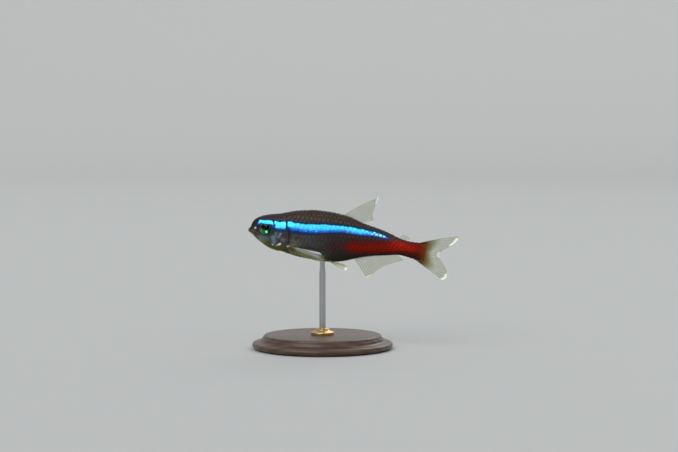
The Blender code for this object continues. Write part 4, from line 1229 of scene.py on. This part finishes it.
def fin_mesh(name, root, tips, rays, bow, looks, material, white=(), silver=0.0, sink=0.05, steps=30,
             flush=0.0, flush_reach=0.60, rayed=True):
    """A fin as one closed sheet in the straight frame.

    A point of its middle surface is root + (tip - root) v + 4 v (1 - v) bow, where v runs from a little
    inside the body to the margin, which is scalloped between the rays. Half its thickness is the web's
    and the ray's, and both thin out to the margin. white lists the pale margins, silver is the strength
    of a silvery blade along the leading rays, and flush that of the orange root.
    """
    columns = len(root)
    across = np.linspace(0, rays, columns)[:, None]
    v = (-sink + (1 + sink) * np.linspace(0, 1, steps + 1) ** 0.9)[None, :]
    out = np.clip(v, 0, 1)
    ray, scallop = np.zeros((columns, steps + 1)), 0
    if rayed:
        ray = branching(across, v, (0.30, 0.50), (0.62, 0.84))
        scallop = 0.022 * (1 - bell(across % 1 - 0.5, 0.30))
    reach = (v * (1 - scallop * out**2))[..., None]
    middle = root[:, None] * (1 - reach) + tips[:, None] * reach + 4 * reach * (1 - reach) * bow[:, None]
    normal = unit(np.cross(np.gradient(middle, axis=0), np.gradient(middle, axis=1)))
    ripple = 0.0010 * np.sin(across * 2.1 + 5 * v) * out
    middle = middle + normal * ripple[..., None]
    web, ridge = looks.web_thickness / STANDARD_LENGTH, looks.ray_height / STANDARD_LENGTH
    stout = (1 - 0.72 * out) * (1 + 1.3 * (1 - ease(0.0, 0.22, v)))
    half = ((web / 2 + ridge * ray) * stout)[..., None]
    points = np.concatenate([(middle + face * normal * half).reshape(-1, 3) for face in (1, -1)])
    fin, span = fin_shades(across, v, ray, rays, white, silver, flush, flush_reach)
    vectors = {"fin": np.tile(fin, (2, 1)), "span": np.tile(span, (2, 1)), "straight": points}
    return new_piece(name, swim(points), [closed_sheet(columns, steps + 1)], vectors, material)


def upright(points):
    """Side view points (x, z) as points on the fish's middle plane."""
    points = np.asarray(points, float)
    return np.stack([points[:, 0], np.zeros(len(points)), points[:, 1]], axis=1)


def faded(bow, columns):
    """A bow that is whole at the leading ray and gone at the last."""
    return np.linspace(1, 0, columns)[:, None] * np.array(bow)


def middle_fin(name, height, base, tips, rays, bow, looks, material, **style):
    """A fin on the back or the belly, its root sunk in the skin."""
    x = np.linspace(*base, 5)
    columns = rays * FIN_COLUMNS_PER_RAY + 1
    root = through(np.stack([x, height(x) - ROOT_SINK * np.sign(height(x))], axis=1), columns)
    tips = through(tips, columns)
    bow = faded(bow, columns)
    return fin_mesh(name, upright(root), upright(tips), rays, bow, looks, material, **style)


def paired_fin(name, side, root, tips, rays, bow, looks, material, **style):
    """A fin of one side, from points of the right one."""
    columns = rays * FIN_COLUMNS_PER_RAY + 1
    mirror = np.array([1, side, 1])
    return fin_mesh(name, through(root, columns) * mirror, through(tips, columns) * mirror, rays,
                    faded(bow, columns) * mirror, looks, material, **style)


def tail_fin(looks, material):
    """Both lobes in one sheet, from the upper leading ray round the fork to the lower one."""
    counts = [rays * FIN_COLUMNS_PER_RAY + 1 for rays in (TAIL_UPPER_RAYS, TAIL_LOWER_RAYS)]

    def joined(make, upper, lower):
        """One lobe's row of points and then the other's, which starts next to the fork."""
        return np.concatenate([make(upper, counts[0]), make(lower, counts[1])[-2::-1]])

    root = joined(through, TAIL_UPPER_ROOT, TAIL_LOWER_ROOT)
    tips = joined(through, TAIL_UPPER_TIPS, TAIL_LOWER_TIPS)
    bow = joined(faded, TAIL_UPPER_BOW, TAIL_LOWER_BOW)
    root[:, 0] -= TAIL_ROOT_SINK
    return fin_mesh("tail_fin", upright(root), upright(tips), TAIL_UPPER_RAYS + TAIL_LOWER_RAYS, bow, looks,
                    material, white=TAIL_WHITE, steps=40, flush=1.0, sink=0.0)


def base_profile():
    """The base's outline as (radius, height): a flat foot, a half-round bead, a cove and a raised top."""
    foot = [(BASE_RADIUS - inset, height) for inset, height in BASE_FOOT]
    bead = ellipse_arc((BASE_RADIUS - BEAD_RADIUS, BEAD_HEIGHT), (BEAD_RADIUS, BEAD_RADIUS), -90, 90, 13)
    cove = ellipse_arc((BASE_RADIUS - COVE_INSET, COVE_HEIGHT), (COVE_WIDTH, COVE_DEPTH), 270, 180, 8)
    shoulder = (BASE_RADIUS - TOP_INSET, BASE_THICKNESS - TOP_ROUNDING)
    rounding = ellipse_arc(shoulder, (TOP_ROUNDING, TOP_ROUNDING), 0, 90, 8)
    top = [(0.35 * BASE_RADIUS, BASE_THICKNESS), (0, BASE_THICKNESS)]
    return [(0, 0), *foot, *bead, *cove, *rounding, *top]


def collar_profile():
    """The collar's outline: a foot, a waist that narrows evenly under one wave of a sine, and a lip."""
    height = COLLAR_TOP - BASE_THICKNESS
    waist = [(1 - 0.42 * up + 0.12 * math.sin(up * math.pi * 2), 0.22 + 0.70 * up)
             for up in np.linspace(0, 1, 14)]
    shares = ((0, 0), *COLLAR_FOOT, *waist, *COLLAR_LIP)
    return [(COLLAR_RADIUS * across, BASE_THICKNESS + height * up) for across, up in shares]


def rod_profile():
    """The rod's outline: straight from the base, then tapered to an end inside the belly."""
    end = BASE_THICKNESS + BELLY_CLEARANCE + ROD_INTO_BELLY
    taper = [(share * ROD_RADIUS, end - below) for share, below in ROD_TAPER]
    return [(0, BASE_THICKNESS), (ROD_RADIUS, BASE_THICKNESS), *taper, (0, end)]


class TetraLooks(bpy.types.PropertyGroup):
    """Sizes and colours of the model that a user would change."""

    coat_depth: bpy.props.FloatProperty(
        name="Coat depth", description="Depth of the skin under the solids", default=0.00005, unit="LENGTH")
    scale_pitch: bpy.props.FloatProperty(
        name="Scale pitch", description="Distance of two scales in a row", default=0.00066, unit="LENGTH")
    scale_sink: bpy.props.FloatProperty(
        name="Scale sink", description="Depth of a scale's root", default=0.000085, unit="LENGTH")
    scale_rise: bpy.props.FloatProperty(
        name="Scale rise", description="Height of a scale's rear edge", default=0.00003, unit="LENGTH")
    scale_thickness: bpy.props.FloatProperty(
        name="Scale thickness", description="Thickness of a scale", default=0.000014, unit="LENGTH")
    web_thickness: bpy.props.FloatProperty(
        name="Web thickness", description="Fin membrane between two rays", default=0.00005, unit="LENGTH")
    ray_height: bpy.props.FloatProperty(
        name="Ray height", description="Height of a ray on each face", default=0.00005, unit="LENGTH")
    lens: bpy.props.FloatProperty(
        name="Lens", description="Focal length of the camera in millimetres", default=100.0)
    key_power: bpy.props.FloatProperty(
        name="Key light", description="Main soft light, in watts per square metre", default=1.3)
    fill_power: bpy.props.FloatProperty(
        name="Fill light", description="Soft light from the right, in watts per square metre", default=0.4)
    rim_power: bpy.props.FloatProperty(
        name="Rim light", description="Light from behind the fins, in watts per square metre", default=0.5)
    sky_strength: bpy.props.FloatProperty(
        name="Sky", description="Strength of the even light all round", default=0.60)


def colour_property(name, description, default):
    """A colour that a user would change."""
    return bpy.props.FloatVectorProperty(
        name=name, description=description, default=default, size=3, min=0, soft_max=1, subtype="COLOR")


COLOURS = {
    "stripe_colour": ("Stripe", "The blue stripe", (0.045, 0.600, 0.880)),
    "stripe_glow": ("Stripe glow", "Light that the stripe sends back", (0.025, 0.320, 0.400)),
    "stripe_low": ("Stripe's low half", "Bluer low half of the stripe", (0.025, 0.300, 0.900)),
    "stripe_low_glow": ("Low glow", "Light that the stripe's low half sends back", (0.014, 0.160, 0.420)),
    "royal_colour": ("Royal blue", "Bright blue under the stripe", (0.010, 0.105, 0.500)),
    "royal_glow": ("Royal glow", "Light of the bright blue", (0.004, 0.075, 0.340)),
    "edge_colour": ("Stripe edge", "Deep blue along the stripe", (0.003, 0.032, 0.110)),
    "edge_glow": ("Edge glow", "Light of the stripe's edge", (0.000, 0.008, 0.040)),
    "edge_dark": ("Top edge", "Nearly black blue line over the stripe", (0.001, 0.020, 0.075)),
    "bead_colour": ("Beads", "Pale blue of the stripe's last scales", (0.420, 0.720, 0.950)),
    "red_haze": ("Red haze", "Reddish plum round the red band", (0.060, 0.014, 0.018)),
    "violet_colour": ("Violet", "Violet shade beyond the stripe", (0.018, 0.022, 0.115)),
    "red_colour": ("Red", "The red band", (0.170, 0.0060, 0.0004)),
    "bright_red": ("Bright red", "Middle of the red band", (0.400, 0.0080, 0.0004)),
    "maroon_colour": ("Maroon", "Under the red band", (0.040, 0.0085, 0.0012)),
    "tail_tint": ("Tail tint", "Orange brown at the tail fin's root", (0.150, 0.058, 0.004)),
    "back_colour": ("Back", "Olive brown of the back", (0.054, 0.040, 0.024)),
    "crown_colour": ("Crown", "Dark plum on top of the head", (0.032, 0.021, 0.028)),
    "back_plum": ("Back plum", "Plum clouds on the back", (0.072, 0.036, 0.042)),
    # Painted highlight in the middle of each scale on the back
    "dot_colour": ("Back dots", "Pale spot of each scale on the back", (0.170, 0.115, 0.085)),
    "sparkle_colour": ("Stripe sparkle", "Palest blue of the stripe", (0.180, 0.900, 1.000)),
    "flank_colour": ("Flank", "Grey violet of the flank", (0.038, 0.029, 0.026)),
    "front_colour": ("Front flank", "Grey olive behind the gill cover", (0.105, 0.105, 0.090)),
    "plum_colour": ("Plum", "Dark violet between the cheek's gleams", (0.045, 0.034, 0.040)),
    "sheen_colour": ("Sheen", "Bluish clouds over the skin", (0.050, 0.046, 0.060)),
    "silver_colour": ("Silver", "Silver blue gleams on the front flank", (0.095, 0.120, 0.150)),
    "gill_sheen": ("Gill sheen", "Olive silver behind the gill cover", (0.170, 0.162, 0.128)),
    "gleam_colour": ("Gleams", "Silver blue patches of the gill cover", (0.230, 0.330, 0.400)),
    # Painted highlights: glints on the head's brightest silver, and their painted glow
    "spark_colour": ("Sparks", "Brightest silver of the head", (0.720, 0.740, 0.740)),
    "spark_glow": ("Spark glow", "Light of the nostril's spark", (0.120, 0.250, 0.320)),
    "warm_spark_glow": ("Warm glow", "Light of the brightest silver behind the eye", (0.190, 0.172, 0.130)),
    "warm_colour": ("Warm patches", "Brown and orange places of the head", (0.140, 0.052, 0.012)),
    "dark_colour": ("Dark patches", "Nearly black places of the head", (0.012, 0.016, 0.010)),
    "cheek_colour": ("Cheek", "Blue grey of the cheek and gill cover", (0.052, 0.112, 0.120)),
    "belly_colour": ("Belly", "Olive green silver of the belly", (0.250, 0.300, 0.100)),
    "rear_colour": ("Rear belly", "Dark olive before the anal fin", (0.024, 0.020, 0.008)),
    "throat_colour": ("Throat", "Olive orange of the throat", (0.108, 0.108, 0.002)),
    "iris_green": ("Iris green", "Lower half of the iris", (0.020, 0.205, 0.052)),
    # A painted highlight on the iris, and its painted glow
    "iris_mint": ("Iris mint", "Bright spot of the iris", (0.300, 0.900, 0.720)),
    "mint_glow": ("Mint glow", "Light of the iris's bright spot", (0.100, 0.420, 0.300)),
    "iris_leaf": ("Iris leaf green", "Lighter green at the front of the iris", (0.060, 0.300, 0.040)),
    "iris_rim": ("Iris rim", "Dark teal round the iris", (0.003, 0.014, 0.020)),
    "iris_dark": ("Iris dark", "Upper half of the iris", (0.006, 0.030, 0.030)),
    "membrane_colour": ("Membrane", "Clear olive of the fins", (0.230, 0.260, 0.060)),
    "ray_colour": ("Rays", "Pale olive of the fin rays", (0.380, 0.400, 0.200)),
    "fin_silver": ("Fin silver", "Lilac silver of the pectoral fins", (0.460, 0.440, 0.520)),
    "white_edge": ("White edge", "White edges of the fins", (0.820, 0.860, 0.760)),
    "wood_light": ("Light wood", "Light rings of the base", (0.110, 0.052, 0.024)),
    "wood_dark": ("Dark wood", "Dark rings of the base", (0.036, 0.016, 0.008)),
    "steel": ("Steel", "The rod", (0.520, 0.520, 0.530)),
    "brass": ("Brass", "The collar", (0.700, 0.480, 0.190)),
    "floor_colour": ("Floor", "The pale floor and backdrop", (0.520, 0.530, 0.520)),
    "pit_colour": ("Pits", "Nearly black specks all over the skin", (0.004, 0.004, 0.006)),
    # Painted shade in the creases of the head
    "crease_colour": ("Creases", "Nearly black depth of gape and gill slit", (0.004, 0.004, 0.008)),
    "scale_edge": ("Scale edge", "Dark rear edge of a scale", (0.006, 0.005, 0.008)),
    "pupil_colour": ("Pupil", "Black of the pupil", (0.0008, 0.0008, 0.0010)),
    "fin_speck": ("Fin specks", "Dark specks of the fin membranes", (0.020, 0.018, 0.012)),
    "wood_pores": ("Wood pores", "Dark pores of the base", (0.012, 0.006, 0.004)),
}
for key, values in COLOURS.items():
    TetraLooks.__annotations__[key] = colour_property(*values)


class TETRA_OT_skin(bpy.types.Operator):
    """Makes one skin over the head, jaw, gill covers, trunk and tail"""

    bl_idname = "tetra.skin"
    bl_label = "Skin"

    def execute(self, context):
        looks = context.scene.tetra_looks
        piece = skin_mesh(looks, body_finish(looks, "wet_skin", False))
        show(piece, "trunk_skin",
             "head", "lower_jaw", "gill_cover_left", "gill_cover_right", "trunk", "tail")
        return {"FINISHED"}


class TETRA_OT_scales(bpy.types.Operator):
    """Lays the scales over the skin of both sides"""

    bl_idname = "tetra.scales"
    bl_label = "Scales"

    def execute(self, context):
        looks = context.scene.tetra_looks
        material = body_finish(looks, "scale_plates", True)
        for word, side in (("left", -1), ("right", 1)):
            show(scale_plates(f"scales_{word}", side, looks, material), "trunk_skin")
        return {"FINISHED"}


class TETRA_OT_eyes(bpy.types.Operator):
    """Sets both eyes, each a ball and a clear cornea"""

    bl_idname = "tetra.eyes"
    bl_label = "Eyes"

    def execute(self, context):
        iris, cornea = eye_finish(context.scene.tetra_looks), cornea_finish()
        for word, side in (("left", -1), ("right", 1)):
            ball = eye_piece(f"eye_{word}_ball", side, ball_profile(), iris)
            show(ball, f"eye_{word}_ball", f"eye_{word}")
            dome = eye_piece(f"eye_{word}_cornea", side, cornea_profile(), cornea)
            show(dome, f"eye_{word}_ball")
        return {"FINISHED"}


class TETRA_OT_fins(bpy.types.Operator):
    """Grows all the fins, with forked rays and clear webs"""

    bl_idname = "tetra.fins"
    bl_label = "Fins"

    def execute(self, context):
        looks = context.scene.tetra_looks
        material = fin_finish(looks, "fin_membrane", looks.white_edge, 0.30)
        silvery = fin_finish(looks, "silvery_fin_membrane", looks.fin_silver, 0.0)
        dorsal = middle_fin("dorsal_fin_web", back_height, DORSAL_BASE, DORSAL_TIPS, DORSAL_RAYS,
                            DORSAL_BOW, looks, material, white=DORSAL_WHITE, steps=40)
        show(dorsal, "dorsal_fin_membrane", "dorsal_fin")
        anal = middle_fin("anal_fin_web", belly_height, ANAL_BASE, ANAL_TIPS, ANAL_RAYS, ANAL_BOW,
                          looks, material, white=ANAL_WHITE)
        show(anal, "anal_fin_membrane", "anal_fin")
        adipose = middle_fin("adipose_fin_lobe", back_height, ADIPOSE_BASE, ADIPOSE_TIPS, ADIPOSE_PARTS,
                             ADIPOSE_BOW, looks, material, white=ADIPOSE_WHITE, rayed=False, steps=14)
        show(adipose, "adipose_fin_membrane", "adipose_fin")
        tail = tail_fin(looks, material)
        show(tail, "tail_fin_upper_membrane", "tail_fin_upper", "tail_fin_lower")
        pectoral_root = [off_flank(x, angle_at(x, height), -ROOT_SINK) for x, height in PECTORAL_ROOT]
        pelvic_root = [off_flank(x, angle, -ROOT_SINK) for x, angle in PELVIC_ROOT]
        for word, side in (("left", -1), ("right", 1)):
            pectoral = paired_fin(f"pectoral_fin_{word}_web", side, pectoral_root, PECTORAL_TIPS,
                                  PECTORAL_RAYS, PECTORAL_BOW, looks, silvery, white=PECTORAL_WHITE,
                                  silver=0.95, flush=0.8, flush_reach=0.24)
            show(pectoral, f"pectoral_fin_{word}_membrane", f"pectoral_fin_{word}")
            pelvic = paired_fin(f"pelvic_fin_{word}_web", side, pelvic_root, PELVIC_TIPS, PELVIC_RAYS,
                                PELVIC_BOW, looks, material, white=PELVIC_WHITE)
            show(pelvic, f"pelvic_fin_{word}_membrane", f"pelvic_fin_{word}")
        return {"FINISHED"}


class TETRA_OT_stand(bpy.types.Operator):
    """Turns the wooden base, the brass collar and the steel rod"""

    bl_idname = "tetra.stand"
    bl_label = "Stand"

    def execute(self, context):
        looks = context.scene.tetra_looks
        base = revolve("stand_base_turned", base_profile(), BASE_SIDES, wood_finish(looks))
        show(base, "stand_base_finish", "stand_base")
        brass = metal_finish("turned_brass", looks.brass, True)
        collar = revolve("stand_collar_turned", collar_profile(), COLLAR_SIDES, brass)
        show(collar, "stand_collar_finish", "stand_collar")
        steel = metal_finish("brushed_steel", looks.steel, False)
        rod = revolve("stand_rod_drawn", rod_profile(), ROD_SIDES, steel)
        show(rod, "stand_rod_finish", "stand_rod")
        for piece in (base, collar, rod):
            piece.data.set_sharp_from_angle(angle=math.radians(SHARP_ANGLE))
        return {"FINISHED"}


class TETRA_OT_stage(bpy.types.Operator):
    """Sets the pale floor, the soft lights and the camera at the photograph's angle"""

    bl_idname = "tetra.stage"
    bl_label = "Stage"

    def execute(self, context):
        looks, scene = context.scene.tetra_looks, context.scene
        backdrop(floor_finish(looks))
        for name, place, breadth in LIGHTS:
            lamp = bpy.data.lights.new(name, "SUN")
            lamp.energy, lamp.angle = getattr(looks, f"{name}_power"), math.radians(breadth)
            light = bpy.data.objects.new(name, lamp)
            light.rotation_euler = Vector(place).to_track_quat("Z", "Y").to_euler()
            scene.collection.objects.link(light)
        world = bpy.data.worlds.new("studio")
        world.use_nodes = True
        sky = world.node_tree.nodes["Background"].inputs
        sky["Color"].default_value = (0.95, 0.97, 1.0, 1)
        sky["Strength"].default_value = looks.sky_strength
        scene.world = world
        scene.view_settings.view_transform = "Standard"
        set_camera(scene, looks.lens)
        return {"FINISHED"}


def backdrop(material):
    """The floor and its upturned rim: a round sheet whose edge rises in a quarter circle to a low wall.

    It is a turned shape without its last point and the fan to it, so it stays open at the top.
    """
    bend = ellipse_arc((FLOOR_RADIUS, FLOOR_BEND), (FLOOR_BEND, FLOOR_BEND), -90, 0, 16)
    wall = (FLOOR_RADIUS + FLOOR_BEND, WALL_TOP)
    profile = [(0, 0), (0.05, 0), (0.3, 0), *bend, wall, (0, WALL_TOP)]
    points = np.column_stack(turned_points(profile, FLOOR_SIDES))[:-1]
    return new_piece("floor", points, capped_rings(len(profile) - 2, FLOOR_SIDES)[:2], {}, material)


def set_camera(scene, lens):
    """Looks along +Y from a little above, with the snout at its pixel and the photograph's scale."""
    rise = math.radians(CAMERA_RISE)
    ahead = Vector((0, math.cos(rise), -math.sin(rise)))
    up = Vector((0, math.sin(rise), math.cos(rise)))
    aside = (PHOTO_WIDTH / 2 - SNOUT_PIXEL[0]) / PIXELS_PER_METRE
    above = (SNOUT_PIXEL[1] - PHOTO_HEIGHT / 2) / PIXELS_PER_METRE
    target = Vector(swim(np.zeros(3))) + Vector((aside, 0, 0)) + above * up
    distance = lens / SENSOR_WIDTH * PHOTO_WIDTH / PIXELS_PER_METRE
    data = bpy.data.cameras.new("camera")
    data.lens, data.sensor_width, data.clip_start = lens, SENSOR_WIDTH, 0.001
    camera = bpy.data.objects.new("camera", data)
    camera.location = target - distance * ahead
    camera.rotation_euler = ahead.to_track_quat("-Z", "Y").to_euler()
    scene.collection.objects.link(camera)
    scene.camera = camera


STEPS = (TETRA_OT_skin, TETRA_OT_scales, TETRA_OT_eyes, TETRA_OT_fins, TETRA_OT_stand, TETRA_OT_stage)


class TETRA_PT_panel(bpy.types.Panel):
    """Lists the model's steps and its sizes and colours"""

    bl_idname = "TETRA_PT_panel"
    bl_label = "Neon tetra"
    bl_space_type = "VIEW_3D"
    bl_region_type = "UI"
    bl_category = "Tetra"

    def draw(self, context):
        for step in STEPS:
            self.layout.operator(step.bl_idname)
        for name in TetraLooks.__annotations__:
            self.layout.prop(context.scene.tetra_looks, name)


def register():
    """Adds the classes, and the looks to every scene."""
    for part in (TetraLooks, *STEPS, TETRA_PT_panel):
        bpy.utils.register_class(part)
    bpy.types.Scene.tetra_looks = bpy.props.PointerProperty(type=TetraLooks)


def unregister():
    """Takes them away again."""
    del bpy.types.Scene.tetra_looks
    for part in (TETRA_PT_panel, *reversed(STEPS), TetraLooks):
        bpy.utils.unregister_class(part)


def main():
    """Makes every piece and the stage."""
    register()
    bpy.ops.tetra.skin()
    bpy.ops.tetra.scales()
    bpy.ops.tetra.eyes()
    bpy.ops.tetra.fins()
    bpy.ops.tetra.stand()
    bpy.ops.tetra.stage()


if __name__ == "__main__":
    main()
